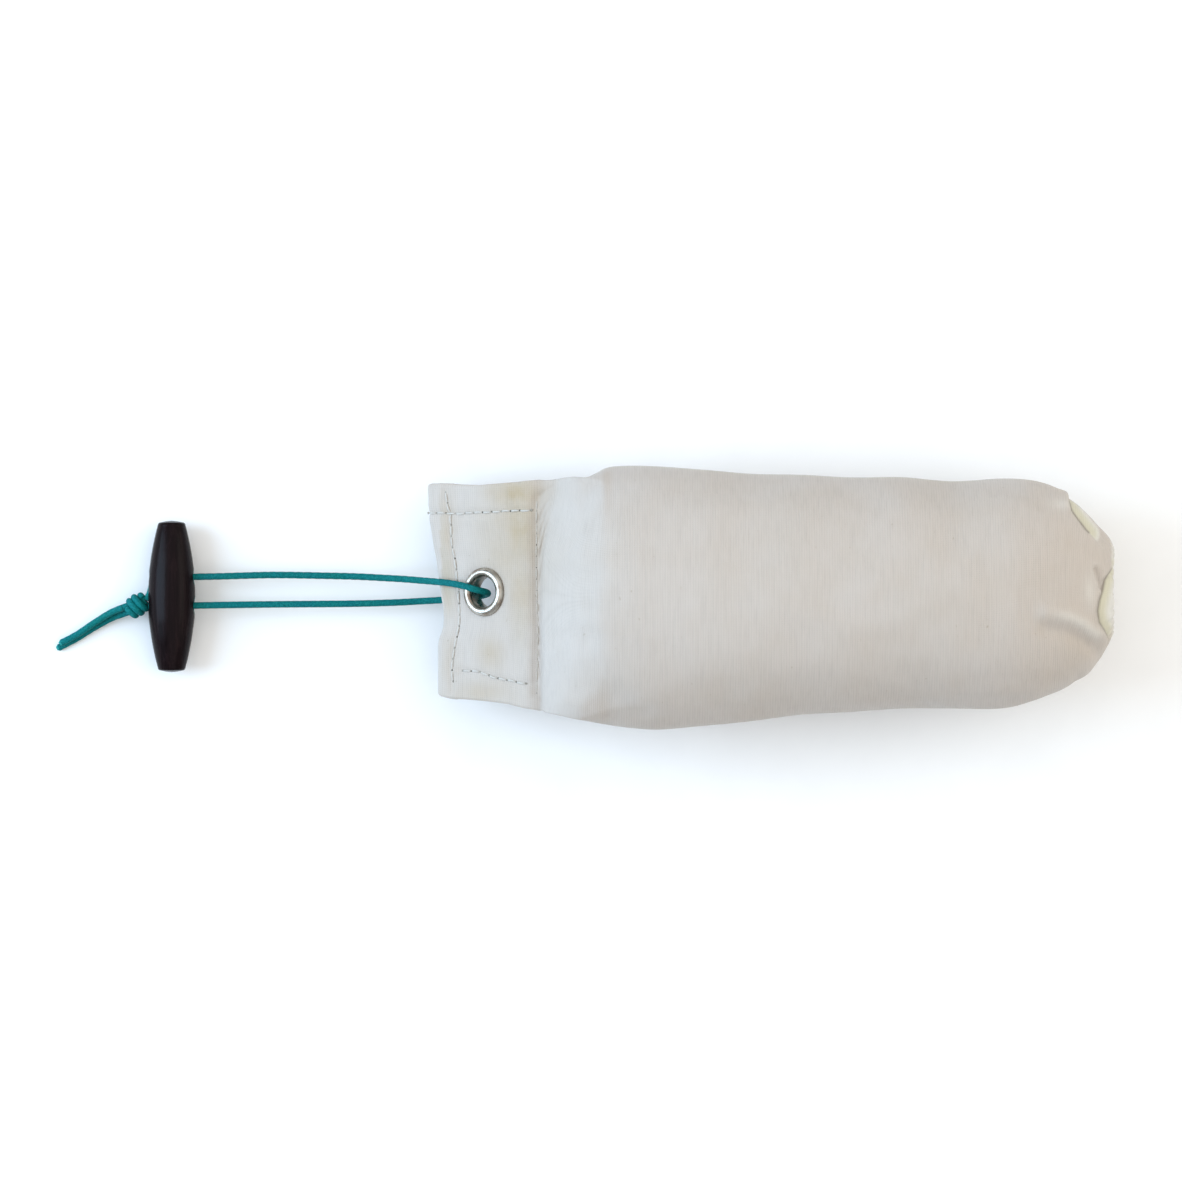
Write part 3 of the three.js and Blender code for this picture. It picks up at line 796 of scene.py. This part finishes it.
def sweep_frames(path):
    """Two directions across the path at every point, carried along without twist."""
    tangent = unit(np.gradient(path, axis=0))
    first = np.cross(tangent[0], (0.0, 0.0, 1.0))
    if np.linalg.norm(first) < 0.1:
        first = np.cross(tangent[0], (0.0, 1.0, 0.0))
    sides = [unit(first)]
    for direction in tangent[1:]:
        sides.append(unit(sides[-1] - direction * (sides[-1] @ direction)))
    sides = np.array(sides)
    return sides, np.cross(tangent, sides)


BRAID_PITCH = 2.4  # length of one full turn of a braid strand
BRAID_STRANDS = 4
CORD_SIDES = 20


def strand_mesh(path, gone, radius, sides, braid, taper):
    """Rings of a swept tube with a braid's raised diagonals; taper(part) scales the radius."""
    across, up = sweep_frames(path)
    turn = np.linspace(0.0, 2 * math.pi, sides, endpoint=False)
    lay = 2 * math.pi * gone[:, None] / BRAID_PITCH
    left = np.abs(np.sin((BRAID_STRANDS * turn[None, :] + lay) / 2))
    right = np.abs(np.sin((BRAID_STRANDS * turn[None, :] - lay) / 2))
    relief = radius - braid + braid * np.maximum(left, right) ** 0.7
    relief = relief * taper(gone / gone[-1])[:, None]
    ring = (across[:, None, :] * np.cos(turn)[None, :, None]
            + up[:, None, :] * np.sin(turn)[None, :, None])
    return path[:, None, :] + ring * relief[..., None]


def join_rings(parts):
    """Vertices and faces of several closed tubes, each given as its rings."""
    vertices, faces, offset = [], [], 0
    for rings in parts:
        vertices.append(rings.reshape(-1, 3))
        faces += tube_faces(*rings.shape[:2], offset)
        offset += len(vertices[-1])
    return np.vstack(vertices), faces


def strands_piece(name, routes, material, step=0.28, sides=CORD_SIDES, braid=0.07,
                  taper=np.ones_like, radius=CORD_RADIUS):
    """One object of swept strands, one for each route."""
    parts = [strand_mesh(*smooth_route(route, step), radius, sides, braid, taper)
             for route in routes]
    return closed_object(name, *join_rings(parts), material)


KNOT_TURNS = 3.0
KNOT_LENGTH = 5.0
KNOT_SHIFT = np.array([0.35, 0.2, 0.0])  # toward the toggle, which it is pulled against


def knot_piece(material):
    """Two strands that run through the middle, wrapped by one of them."""
    middle = KNOT_MIDDLE + KNOT_SHIFT
    axis = unit(np.array([-0.80, -0.58, -0.10]))
    side = unit(np.cross(axis, (0.0, 0.0, 1.0)))
    lift = np.cross(side, axis)
    wrap = []
    for part in np.linspace(0.0, 1.0, 44):
        turn = 0.9 - 2 * math.pi * KNOT_TURNS * part
        ends = math.exp(-part * 14) + math.exp(-(1 - part) * 14)
        swell = (1.9 + 0.3 * math.sin(math.pi * part)) * (1.0 - 0.4 * ends)
        along = (part - 0.5) * KNOT_LENGTH
        around = side * math.cos(turn) + lift * math.sin(turn)
        wrap.append(middle + axis * along + around * swell)
    core_a = [middle - axis * 2.6 + side * 0.2, middle + side * 0.75 + lift * 0.3,
              TAIL_A_ROUTE[0]]
    core_b = [middle - axis * 2.6 - side * 0.4, middle - side * 0.75 - lift * 0.3,
              TAIL_B_ROUTE[0]]
    return strands_piece("knot", [wrap, core_a, core_b], material)


def tail_taper(part):
    """The melted tip is a little thicker than the cord, and rounded."""
    return 1.0 - 0.45 * smooth(0.965, 1.0, part) + 0.1 * bump(part, 0.955, 0.02)


def tail_piece(name, route, material, melted):
    piece = strands_piece(name, [route], material, taper=tail_taper)
    piece.data.materials.append(melted)
    rows = len(piece.data.vertices) // CORD_SIDES
    for polygon in piece.data.polygons:
        if min(polygon.vertices) // CORD_SIDES > rows * 0.95:
            polygon.material_index = 1
    return piece


# ---- Stitches ----

THREAD_RADIUS = 0.29
THREAD_SIDES = 8
STITCH_RISE = 0.38
HOLE_SIZE = 0.36
CLOSING_RISE = 0.12  # the closing row lies in a furrow
CLOSING_HOLE_SIZE = 0.17


def row_points(row, pitch):
    """Needle holes along a row, a pitch apart."""
    row = np.array(row)
    gone = length_along(row)
    count = int(gone[-1] / pitch) + 1
    wanted = (np.arange(count) + 0.15) * pitch
    wanted = wanted[wanted <= gone[-1]]
    return np.stack([np.interp(wanted, gone, row[:, k]) for k in range(2)], axis=-1)


def stitch_taper(part):
    return 0.55 + 0.45 * np.sin(np.clip(part, 0.02, 0.98) * math.pi) ** 0.4


def stitch_rings(start, end, side, seed, rise):
    """One stitch: a short thread that rises out of one needle hole and dips into the next."""
    slack = 0.06 * math.sin(seed * 2.3)
    path = []
    for part in np.linspace(0.09, 0.91, 9):
        reach, y = start + (end - start) * part
        sway = 0.13 * math.sin(math.pi * part) * math.sin(seed * 1.7)
        arch = (rise + slack) * math.sin(math.pi * part) ** 0.6 - 0.16
        height = float(flap_height(reach, y + sway, side)) + arch
        path.append(flap_world(reach + sway * 0.4, y + sway, side * height))
    path = np.array(path)
    return strand_mesh(path, length_along(path), THREAD_RADIUS, THREAD_SIDES, 0.03, stitch_taper)


def hole_rings(reach, y, side, hole_size):
    """A needle hole: a flat button sunk into the cloth, dark with painted shade."""
    base = float(flap_height(reach, y, side))
    turns = 2 * math.pi * np.arange(THREAD_SIDES) / THREAD_SIDES
    return np.array([flap_world(reach + part * hole_size * np.cos(turns),
                                y + part * hole_size * np.sin(turns), side * (base + level))
                     for level, part in ((-0.25, 0.7), (0.06, 1.0), (0.1, 0.5))])


def stitches_piece(name, row, side, thread, shade, rise, hole_size):
    """All stitches of a row, with the small needle holes between them, dark with painted shade."""
    holes = row_points(row, STITCH_PITCH)
    stitches = [stitch_rings(start, end, side, number, rise)
                for number, (start, end) in enumerate(zip(holes[:-1], holes[1:]))]
    dark = [hole_rings(reach, y, side, hole_size) for reach, y in holes]
    dark_from = len(join_rings(stitches)[1])
    piece = closed_object(name, *join_rings(stitches + dark), thread)
    piece.data.materials.append(shade)
    for polygon in piece.data.polygons[dark_from:]:
        polygon.material_index = 1
    return piece


END_STITCHES_Y = (-6.6, -4.3, -2.2, 0.1, 2.3, 4.4, 6.8, 9.0)


# Points of one of them: x, and parts of its lean in y and of its half height.
END_STITCH = ((89.0, 0.0, 1.0), (89.8, 0.2, 0.7), (89.9, 0.5, 0.0), (89.8, 0.8, -0.7),
              (89.0, 1.0, -1.0))


def end_stitches_piece(thread):
    """Overcast stitches that pull the far end's two lips together."""
    routes = []
    for number, y in enumerate(END_STITCHES_Y):
        lean = 1.5 + 0.3 * math.sin(number * 2.1)
        half = 1.5 + 0.2 * math.sin(number * 3.7)
        routes.append([(x, y + a * lean, AXIS_Z + b * half) for x, a, b in END_STITCH])
    return strands_piece("end_stitches", routes, thread, 0.2, 10, 0.03, radius=THREAD_RADIUS)


# ---- Turned pieces ----

def lathe(name, profile, material, sides, place):
    """A closed outline of radius and height, turned about an axis; place maps it to the world."""
    count = len(profile)
    vertices, faces = [], []
    for k in range(sides):
        turn = 2 * math.pi * k / sides
        for radius, height in profile:
            vertices.append(place(radius * math.cos(turn), radius * math.sin(turn), height))
        for i in range(count):
            j = (i + 1) % count
            after = (k + 1) % sides
            faces.append((k * count + i, k * count + j, after * count + j, after * count + i))
    return closed_object(name, vertices, faces, material)


def arc(centre, radius, start, end, count):
    """Points on an arc of the outline, angles in degrees."""
    turns = np.radians(np.linspace(start, end, count))
    return [(centre[0] + radius * math.cos(t), centre[1] + radius * math.sin(t)) for t in turns]


# Of the eyelet, as radius and height from the flap's middle plane.
EYELET_HOLE = 4.05
EYELET_CUT = 4.75  # of the hole in the canvas
EYELET_SIDES = 72
RIM_MIDDLE, RIM_RADIUS = (5.25, 1.52), 1.2
CURL_MIDDLE, CURL_RADIUS = (4.5, -2.0), 0.45  # where the barrel is rolled over the washer
WASHER_MIDDLE, WASHER_RADIUS = (5.85, -1.95), 0.62


def at_eyelet(a, b, height):
    return flap_world(EYELET_REACH + a, EYELET_Y + b, height)


def eyelet_pieces(metal):
    """The barrel with its rolled rim, and the washer that it is set over."""
    rim = arc(RIM_MIDDLE, RIM_RADIUS, 0, 180, 15) + [(EYELET_HOLE, -1.2)]
    rim += arc(CURL_MIDDLE, CURL_RADIUS, 180, 360, 8) + [(EYELET_HOLE + 0.6, 1.3), (5.6, 1.36)]
    ring = arc(WASHER_MIDDLE, WASHER_RADIUS, 360, 0, 24)[:-1]
    return (lathe("eyelet_rim", rim, metal, EYELET_SIDES, at_eyelet),
            lathe("eyelet_back_ring", ring, metal, EYELET_SIDES, at_eyelet))


# Parts of the toggle's radius and of its half length, from the middle to the rounded end.
TOGGLE_PROFILE = [(1.0, 0.0), (0.992, 0.12), (0.965, 0.29), (0.91, 0.43), (0.845, 0.57),
                  (0.76, 0.71), (0.67, 0.84), (0.59, 0.935)]
TOGGLE_HOLES_Y = (5.4, -2.2)
TOGGLE_DOME = 0.45  # how far its ends bulge
TOGGLE_ROUNDING = 0.8  # of its ends' edges
TOGGLE_BORE = 1.7  # radius
SINK_DEPTH = 1.3
NOTCH_DEPTH = 2.9
NOTCH_HALF_HEIGHT = 1.4


def toggle_piece(wood):
    """A spindle with two countersunk cross holes and a notch for the cord at the back."""
    half = (TOGGLE_HIGH[1] - TOGGLE_LOW[1]) / 2
    radius = (TOGGLE_HIGH[2] - TOGGLE_LOW[2]) / 2
    outline = smooth_outline([(r * radius, y * half) for r, y in TOGGLE_PROFILE])
    corner_radius, corner_y = outline[-1]
    rise = half - TOGGLE_DOME - corner_y
    for turn in np.linspace(0.25, math.pi / 2, 6):
        inward = TOGGLE_ROUNDING * (1 - math.cos(turn))
        outline.append((corner_radius - inward, corner_y + rise * math.sin(turn)))
    outline += [(radius * 0.25, half - TOGGLE_DOME * 0.35), (0.02, half)]
    full = [(r, -h) for r, h in reversed(outline[1:])] + outline
    x, y, z = TOGGLE_MIDDLE

    def place(a, b, height):
        return np.array([x + a, y + height, z + b])

    spindle = lathe("toggle_spindle", full, wood, 96, place)
    tools = [notch_tool(x - radius, z)]
    for hole_y in TOGGLE_HOLES_Y:
        tools.append(cutter("drill", (x - 9, hole_y, z), (x + 9, hole_y, z),
                            TOGGLE_BORE, TOGGLE_BORE, 40))
        sink_x = x + radius - SINK_DEPTH
        tools.append(cutter("sink", (sink_x, hole_y, z), (sink_x + 3.0, hole_y, z),
                            TOGGLE_BORE - 0.1, TOGGLE_BORE + 1.9, 40))
    cut_away(spindle, tools)
    return spindle


def smooth_outline(points):
    """Rounds the outline's long sides with extra points."""
    rows = np.array([points[0], *points, points[-1]])
    fine = []
    for i in range(1, len(rows) - 2):
        fine += [tuple(point) for point in curve_points(*rows[i - 1:i + 3], 4)]
    return fine + [tuple(rows[-1])]


def notch_tool(x, z):
    """A stadium-ended slot between the two cord holes."""
    high, low = TOGGLE_HOLES_Y
    half = NOTCH_HALF_HEIGHT
    outline = arc((high, 0.0), half, -90, 90, 9) + arc((low, 0.0), half, 90, 270, 9)
    ends = (x - NOTCH_DEPTH, x + NOTCH_DEPTH)
    vertices = [(end, y, z + h) for end in ends for y, h in outline]
    faces = tube_faces(2, len(outline))
    return closed_object("notch", vertices, faces, bpy.data.materials[0], False)


# ---- Materials ----

class Nodes:
    """Short names for building a material's node tree."""

    def __init__(self, name):
        self.material = bpy.data.materials.new(name)
        self.material.use_nodes = True
        self.tree = self.material.node_tree
        self.shader = self.tree.nodes["Principled BSDF"]

    def fill(self, node, inputs):
        """Links or sets a node's inputs."""
        for key, content in inputs.items():
            if hasattr(content, "is_output"):
                self.tree.links.new(content, node.inputs[key])
            else:
                node.inputs[key].default_value = content

    def add(self, kind, inputs, **settings):
        node = self.tree.nodes.new(kind)
        for key, value in settings.items():
            setattr(node, key, value)
        self.fill(node, inputs)
        return node

    def position(self):
        return self.add("ShaderNodeTexCoord", {}).outputs["Object"]

    def attribute(self, name, output="Fac"):
        return self.add("ShaderNodeAttribute", {}, attribute_name=name).outputs[output]

    def math(self, operation, a, b=0.0):
        return self.add("ShaderNodeMath", {0: a, 1: b}, operation=operation).outputs[0]

    def times(self, a, b):
        return self.math("MULTIPLY", a, b)

    def plus(self, a, b):
        return self.math("ADD", a, b)

    def ridges(self, value, pitch):
        """Rounded ridges across the value, a pitch apart."""
        return self.math("ABSOLUTE", self.math("SINE", self.times(value, math.pi / pitch)))

    def noise(self, vector, scale, detail=3.0, roughness=0.55):
        """Noise with one scale, or with a scale for each axis."""
        if isinstance(scale, tuple):
            mapping = self.add("ShaderNodeMapping", {"Vector": vector, "Scale": scale})
            vector, scale = mapping.outputs["Vector"], 1.0
        inputs = {"Vector": vector, "Scale": scale, "Detail": detail, "Roughness": roughness}
        return self.add("ShaderNodeTexNoise", inputs).outputs["Fac"]

    def ramp(self, factor, stops):
        node = self.add("ShaderNodeValToRGB", {"Fac": factor})
        elements = node.color_ramp.elements
        while len(elements) < len(stops):
            elements.new(0.5)
        for element, (place, colour) in zip(elements, stops):
            element.position = place
            element.color = (*colour, 1.0)
        return node.outputs["Color"]

    def mix(self, factor, a, b, blend="MIX"):
        a, b = (c if hasattr(c, "is_output") else (*c, 1.0) for c in (a, b))
        node = self.add("ShaderNodeMix", {"Factor": factor, "A": a, "B": b},
                        data_type="RGBA", blend_type=blend)
        return node.outputs["Result"]

    def bump(self, height, strength, distance):
        inputs = {"Height": height, "Strength": strength, "Distance": distance}
        node = self.add("ShaderNodeBump", inputs)
        self.fill(self.shader, {"Normal": node.outputs["Normal"]})

    def finish(self, colour, roughness, **others):
        """Sets the shader's own inputs; the others' names have _ for a space."""
        self.fill(self.shader, {"Base Color": colour, "Roughness": roughness})
        self.fill(self.shader, {name.replace("_", " "): content
                                for name, content in others.items()})
        return self.material


def grey(level):
    return (level, level, level)


# Soft tan patches on the flap's upper side: stains, and painted shade by the seam and on the hem
# strip. Middle x and y, half sizes, strength.
STAINS_AND_SHADE = [((-66.0, 19.0), (5.6, 14.0), 1.0), ((-65.8, 2.0), (3.6, 14.0), 0.75),
          ((-74.0, -14.5), (3.8, 4.6), 0.6), ((-67.0, 27.5), (7.5, 4.5), 1.15),
          ((-69.0, 14.0), (9.0, 16.0), 0.6), ((-85.5, 4.0), (2.4, 9.0), 0.8),
          ((-86.0, 15.0), (2.8, 12.0), 0.55), ((-85.0, -16.0), (2.6, 8.0), 0.3),
          ((-76.0, -25.0), (8.0, 3.0), 0.45)]
# Lighter patches at the far end, in the same way.
PALE_SPOTS = [((83.0, 1.5), (1.8, 4.0), 0.45), ((76.0, 24.5), (3.5, 1.6), 0.5)]
CREASE_SHADE_WIDTH = 0.62  # of the painted shade line along a crease

RIB_PITCH = 0.00066  # of the yarns around the tube, in metres
WEFT_PITCH = 0.00058


def add_stain_and_painted_light_layers(piece):
    """How much stain and painted shade, cream, paleness and painted highlight, and painted crease
    shade each point has, and its place before the flap moves.
    """
    mesh = piece.data
    places = vertex_values(mesh, "co")
    rest = mesh.attributes.new("rest_place", "FLOAT_VECTOR", "POINT")
    rest.data.foreach_set("vector", places.ravel())
    x, y, z = places.T / MM
    stain_and_shade, cream, pale_and_highlight, crease_shade = np.zeros((4, len(x)))
    plan = np.stack([x, y], axis=-1)
    upper = smooth(AXIS_Z, AXIS_Z + 6.0, z)
    normal_x, _, normal_z = vertex_values(mesh, "normal").T
    # How much a step along each crease's gap is shortened when it is seen along that crease.
    shares = (np.abs(normal_z), np.abs(normal_z), np.sqrt(np.maximum(1.0 - normal_x**2, 0.0)))
    for (gap, beyond, shown, _, pale_reach), share in zip(end_creases(x, y, z), shares):
        on_cloth = gap / np.maximum(share, 0.4)
        cream = np.maximum(cream, beyond * smooth(3.6, 1.2, gap) * shown)
        pale_and_highlight = np.maximum(pale_and_highlight, beyond * smooth(pale_reach + 1.0, pale_reach, gap) * shown)
        # Painted shade: a dark line along each crease.
        crease_shade = np.maximum(crease_shade, 0.9 * bump(on_cloth, 0.0, CREASE_SHADE_WIDTH) * shown)
    # A painted highlight along the ridge's crest.
    ridge_highlight = route_bump(plan, END_RIDGE, 1.5) * smooth(70.0, 79.0, x)
    pale_and_highlight = np.maximum(pale_and_highlight, 0.55 * ridge_highlight * upper)
    pale_and_highlight = np.maximum(pale_and_highlight, 0.9 * smooth(89.0, 90.0, x))
    # Painted shade along the pinch as well.
    crease_shade = np.maximum(crease_shade, 0.3 * route_bump(plan, END_PINCH, 0.4) * upper)
    for spots, layer in ((STAINS_AND_SHADE, stain_and_shade), (PALE_SPOTS, pale_and_highlight)):
        for (middle_x, middle_y), (half_x, half_y), strength in spots:
            spot = np.hypot((x - middle_x) / half_x, (y - middle_y) / half_y)
            np.maximum(layer, strength * bump(spot, 0.0, 1.0) * (z > 0.5 * AXIS_Z), out=layer)
    for name, values in (("stain_and_shade", stain_and_shade), ("cream", cream), ("pale_and_highlight", pale_and_highlight), ("crease_shade", crease_shade)):
        layer = mesh.attributes.new(name, "FLOAT", "POINT")
        layer.data.foreach_set("value", values)


def canvas_material():
    """Plain-woven cotton with fine ribs around the tube, slubs, flecks and a little yellowing,
    with painted shade in the weave's grooves, by the flap's seam and in the far end's creases, and
    painted highlights at the far end.
    """
    n = Nodes("canvas_cloth")
    uv = n.add("ShaderNodeUVMap", {}, uv_map="cloth").outputs["UV"]
    split = n.add("ShaderNodeSeparateXYZ", {0: uv})
    along, around = split.outputs["X"], split.outputs["Y"]
    wobble = n.times(n.noise(uv, (900, 90, 1), 2.0), 0.00009)
    rib = n.ridges(n.plus(along, wobble), RIB_PITCH)
    weft = n.ridges(around, WEFT_PITCH)
    weave = n.plus(n.times(rib, 0.62), n.times(weft, 0.38))
    slub = n.noise(uv, (1500, 110, 1), 3.0)
    cross_slub = n.noise(uv, (110, 1300, 1), 2.0)
    height = n.plus(weave, n.plus(n.times(slub, 0.6), n.times(cross_slub, 0.4)))
    n.bump(height, 0.5, 0.00012)
    place = n.attribute("rest_place", "Vector")
    soil = n.noise(place, 30.0, 4.0, 0.6)
    colour = n.ramp(soil, [(0.3, (0.530, 0.474, 0.420)), (0.5, (0.553, 0.503, 0.458)),
                           (0.72, (0.568, 0.524, 0.487))])
    patchy = n.ramp(n.noise(place, 210.0, 3.0, 0.6), [(0.25, grey(0.62)), (0.7, grey(1.0))])
    # Tan stains mixed with painted shade, paler cloth with painted highlights, cream, and painted
    # shade in the creases.
    for layer, amount, tint in (("stain_and_shade", patchy, (0.46, 0.372, 0.26)),
                                ("pale_and_highlight", 0.8, (0.72, 0.71, 0.67)),
                                ("cream", 0.85, (0.60, 0.57, 0.43)),
                                ("crease_shade", 0.75, (0.16, 0.13, 0.11))):
        colour = n.mix(n.times(n.attribute(layer), amount), colour, tint)
    yarn = n.ramp(slub, [(0.25, grey(0.86)), (0.55, grey(1.0))])
    # Painted shade in the grooves between the yarns.
    furrow_shade = n.ramp(weave, [(0.1, (0.80, 0.79, 0.77)), (0.6, grey(1.0))])
    fleck = n.ramp(n.noise(uv, (1000, 700, 1), 1.0),
                   [(0.0, grey(1.0)), (0.74, grey(1.0)), (0.80, (0.72, 0.68, 0.6))])
    for amount, shade in ((0.55, yarn), (0.65, furrow_shade), (0.7, fleck)):
        colour = n.mix(amount, colour, shade, "MULTIPLY")
    return n.finish(colour, 0.92, Specular_IOR_Level=0.15, Sheen_Weight=0.12,
                    Sheen_Roughness=0.5)


def cord_material(name, tint):
    """Braided synthetic cord: diagonal flecks and a slight sheen."""
    n = Nodes(name)
    position = n.position()
    fibre = n.noise(position, 2600.0, 3.0)
    dark = tuple(c * 0.6 for c in tint)
    light = tuple(min(c * 1.45 + 0.012, 1.0) for c in tint)
    colour = n.ramp(fibre, [(0.28, dark), (0.5, tint), (0.75, light)])
    cool = n.ramp(n.noise(position, 160.0, 2.0), [(0.35, (0.8, 0.92, 1.0)),
                                                  (0.65, (1.0, 1.0, 0.92))])
    n.bump(fibre, 0.5, 0.00009)
    return n.finish(n.mix(0.6, colour, cool, "MULTIPLY"), 0.6, Specular_IOR_Level=0.08)


def metal_material():
    """Bright plated metal with fine scratches and brownish wear."""
    n = Nodes("eyelet_metal")
    position = n.position()
    scratch = n.noise(position, (2400, 300, 600), 3.0)
    wear = n.noise(position, 320.0, 3.0)
    colour = n.ramp(wear, [(0.36, (0.25, 0.19, 0.15)), (0.5, (0.42, 0.385, 0.33)),
                           (0.7, (0.55, 0.53, 0.485))])
    n.bump(scratch, 0.1, 0.00002)
    return n.finish(colour, n.ramp(scratch, [(0.3, grey(0.22)), (0.7, grey(0.40))]),
                    Metallic=1.0)


def wood_material():
    """Dark stained wood: grain along the spindle, and pores."""
    n = Nodes("toggle_wood")
    position = n.position()
    grain = n.noise(position, (900, 55, 900), 5.0, 0.65)
    pores = n.noise(position, (2600, 260, 2600), 2.0)
    colour = n.ramp(grain, [(0.3, (0.0042, 0.0021, 0.0026)), (0.55, (0.0076, 0.0036, 0.0044)),
                            (0.78, (0.015, 0.0072, 0.0075))])
    n.bump(n.plus(grain, n.times(pores, 0.6)), 0.35, 0.00008)
    return n.finish(colour, n.ramp(grain, [(0.3, grey(0.21)), (0.7, grey(0.31))]),
                    Specular_IOR_Level=0.07)


def grained_material(name, noise_settings, stops, bump, roughness, **others):
    """For plainer pieces: two colours mixed by fine noise, and a bump of the same noise."""
    n = Nodes(name)
    grain = n.noise(n.position(), *noise_settings)
    if bump:
        n.bump(grain, *bump)
    return n.finish(n.ramp(grain, stops), roughness, **others)


def thread_material(name, dark, light):
    return grained_material(name, (3200.0, 2.0), [(0.3, dark), (0.7, light)], (0.4, 0.00006), 0.7)


def hidden_material(name, tint, scale):
    """For the pieces inside: the bag and its filling."""
    dark = tuple(c * 0.75 for c in tint)
    return grained_material(name, (scale, 3.0), [(0.3, dark), (0.7, tint)], (0.5, 0.0003), 0.95)


def shade_material():
    # Painted shade of the needle holes.
    stops = [(0.4, (0.09, 0.08, 0.065)), (0.6, (0.38, 0.35, 0.30))]
    return grained_material("needle_hole", (1500.0, 2.0), stops, None, 1.0)


def floor_material():
    return grained_material("floor_paper", (60.0, 2.0), [(0.3, grey(0.93)), (0.7, grey(0.95))],
                            None, 0.9, Specular_IOR_Level=0.1)


# ---- Stage ----

FLOOR_HALF = 3000.0
FLOOR_LEVEL = -0.02


def add_floor():
    corners = [(FLOOR_HALF * a, FLOOR_HALF * b, FLOOR_LEVEL)
               for a, b in ((-1, -1), (1, -1), (1, 1), (-1, 1))]
    floor = make_object("floor", corners, [(0, 1, 2, 3)], floor_material(), False)


def add_light(name, place, size, power, tint):
    light = bpy.data.lights.new(name, "AREA")
    light.shape = "RECTANGLE"
    light.size, light.size_y = size
    light.energy = power
    light.color = tint
    lamp = bpy.data.objects.new(name, light)
    lamp.location = place
    target = Vector((-0.03, 0.0, 0.02))
    lamp.rotation_euler = (target - Vector(place)).to_track_quat("-Z", "Y").to_euler()
    bpy.context.collection.objects.link(lamp)


def add_stage():
    add_floor()
    add_light("window", (-0.80, 0.07, 0.45), (0.5, 0.7), 7.9, (0.57, 0.78, 1.0))
    add_light("overhead", (0.10, 0.16, 1.1), (2.0, 2.0), 9.6, (1.0, 0.975, 0.94))
    add_light("warm_fill", (0.8, 0.1, 0.5), (0.8, 0.8), 3.3, (1.0, 0.94, 0.82))
    world = bpy.data.worlds.new("studio")
    bpy.context.scene.world = world
    world.use_nodes = True
    background = world.node_tree.nodes["Background"]
    background.inputs["Color"].default_value = (0.95, 0.975, 1.0, 1.0)
    background.inputs["Strength"].default_value = 0.45
    bpy.context.scene.view_settings.view_transform = "Standard"


# ---- Assembly ----

def declare(piece, slot, *nodes):
    """Hides the CAD nodes that the piece stands in for; the slot is not used."""
    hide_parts(*nodes)


def fold_with_flap(piece):
    """Bakes the piece's transform into its mesh."""
    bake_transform(piece)


def add_canvas(cloth):
    canvas, tube_rings = canvas_piece(cloth)
    for name, inset, material, node, slot in (
            ("bag", BAG_INSET, hidden_material("bag_cotton", (0.78, 0.76, 0.70), 900.0),
             "inner_bag", "lining"),
            ("stuffing", STUFFING_INSET,
             hidden_material("loose_filling", (0.6, 0.48, 0.3), 260.0), "filling", "filling")):
        piece = inner_piece(name, tube_rings, inset, material)
        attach(piece, "bumper")
        declare(piece, slot, node)
    reach = np.array([-math.sin(DROOP), 0.0, math.cos(DROOP)]) * 6
    drill = cutter("drill", EYELET_POS - reach, EYELET_POS + reach, EYELET_CUT, EYELET_CUT, 48)
    cut_away(canvas, [drill])
    canvas.data.polygons.foreach_set("use_smooth", [True] * len(canvas.data.polygons))
    add_stain_and_painted_light_layers(canvas)
    fold_with_flap(canvas)
    declare(canvas, "canvas", "canvas_cover", "flap_upper_ply", "flap_lower_ply",
            "side_gusset_high", "side_gusset_low")


def add_stitches(thread, seam_thread, shade):
    for row, name in ((HEM_ROW, "mouth_hem"), (SIDE_ROW_HIGH, "high_side"),
                      (SIDE_ROW_LOW, "low_side")):
        for side, kind in ((1, "needle"), (-1, "bobbin")):
            piece = stitches_piece(f"{name}_{kind}_stitches", row, side, thread, shade,
                                   STITCH_RISE, HOLE_SIZE)
            fold_with_flap(piece)
            declare(piece, "thread", f"{name}_{kind}_thread")
    for side, kind, node in ((1, "needle", "closing_seam_thread"),
                             (-1, "bobbin", "closing_seam_bobbin_thread")):
        piece = stitches_piece(f"closing_{kind}_stitches", CLOSING_ROW, side, seam_thread,
                               shade, CLOSING_RISE, CLOSING_HOLE_SIZE)
        fold_with_flap(piece)
        declare(piece, "thread", node)


def add_end_stitches(thread):
    piece = end_stitches_piece(thread)
    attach(piece, "bumper")
    declare(piece, "thread", "end_seam_thread")


def add_eyelet(metal):
    for piece, node in zip(eyelet_pieces(metal), ("eyelet_barrel", "eyelet_washer")):
        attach(piece, "flap")
        declare(piece, "eyelet", node)


def add_cord(braid, melted):
    cord = strands_piece("cord", [CORD_ROUTE], braid)
    knot = knot_piece(braid)
    tail_a = tail_piece("tail_a", TAIL_A_ROUTE, braid, melted)
    tail_b = tail_piece("tail_b", TAIL_B_ROUTE, braid, melted)
    for piece, nodes in ((cord, ("cord_upper_run", "cord_lower_run")), (knot, ("cord_knot",)),
                         (tail_a, ("cord_tail_a",)), (tail_b, ("cord_tail_b",))):
        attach(piece, "cord")
        declare(piece, "cord", *nodes)
    path, gone = smooth_route(CORD_ROUTE, 4.0)
    [tuple(point * MM) for point in path]


def add_toggle(wood):
    toggle = toggle_piece(wood)
    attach(toggle, "toggle")
    declare(toggle, "toggle", "toggle")


def dress_long_seam(thread):
    node = frame["nodes"]["long_seam_thread"]
    node.data.materials.clear()
    node.data.materials.append(thread)


add_camera()
thread = thread_material("sewing_thread", (0.50, 0.475, 0.43), (0.61, 0.58, 0.54))
seam_thread = thread_material("seam_thread", (0.40, 0.36, 0.30), (0.52, 0.47, 0.41))
add_cord(cord_material("braided_cord", (0.002, 0.15, 0.155)),
         cord_material("melted_tip", (0.02, 0.25, 0.23)))
add_toggle(wood_material())
add_eyelet(metal_material())
add_stitches(thread, seam_thread, shade_material())
add_end_stitches(seam_thread)
add_canvas(canvas_material())
dress_long_seam(thread)
add_stage()
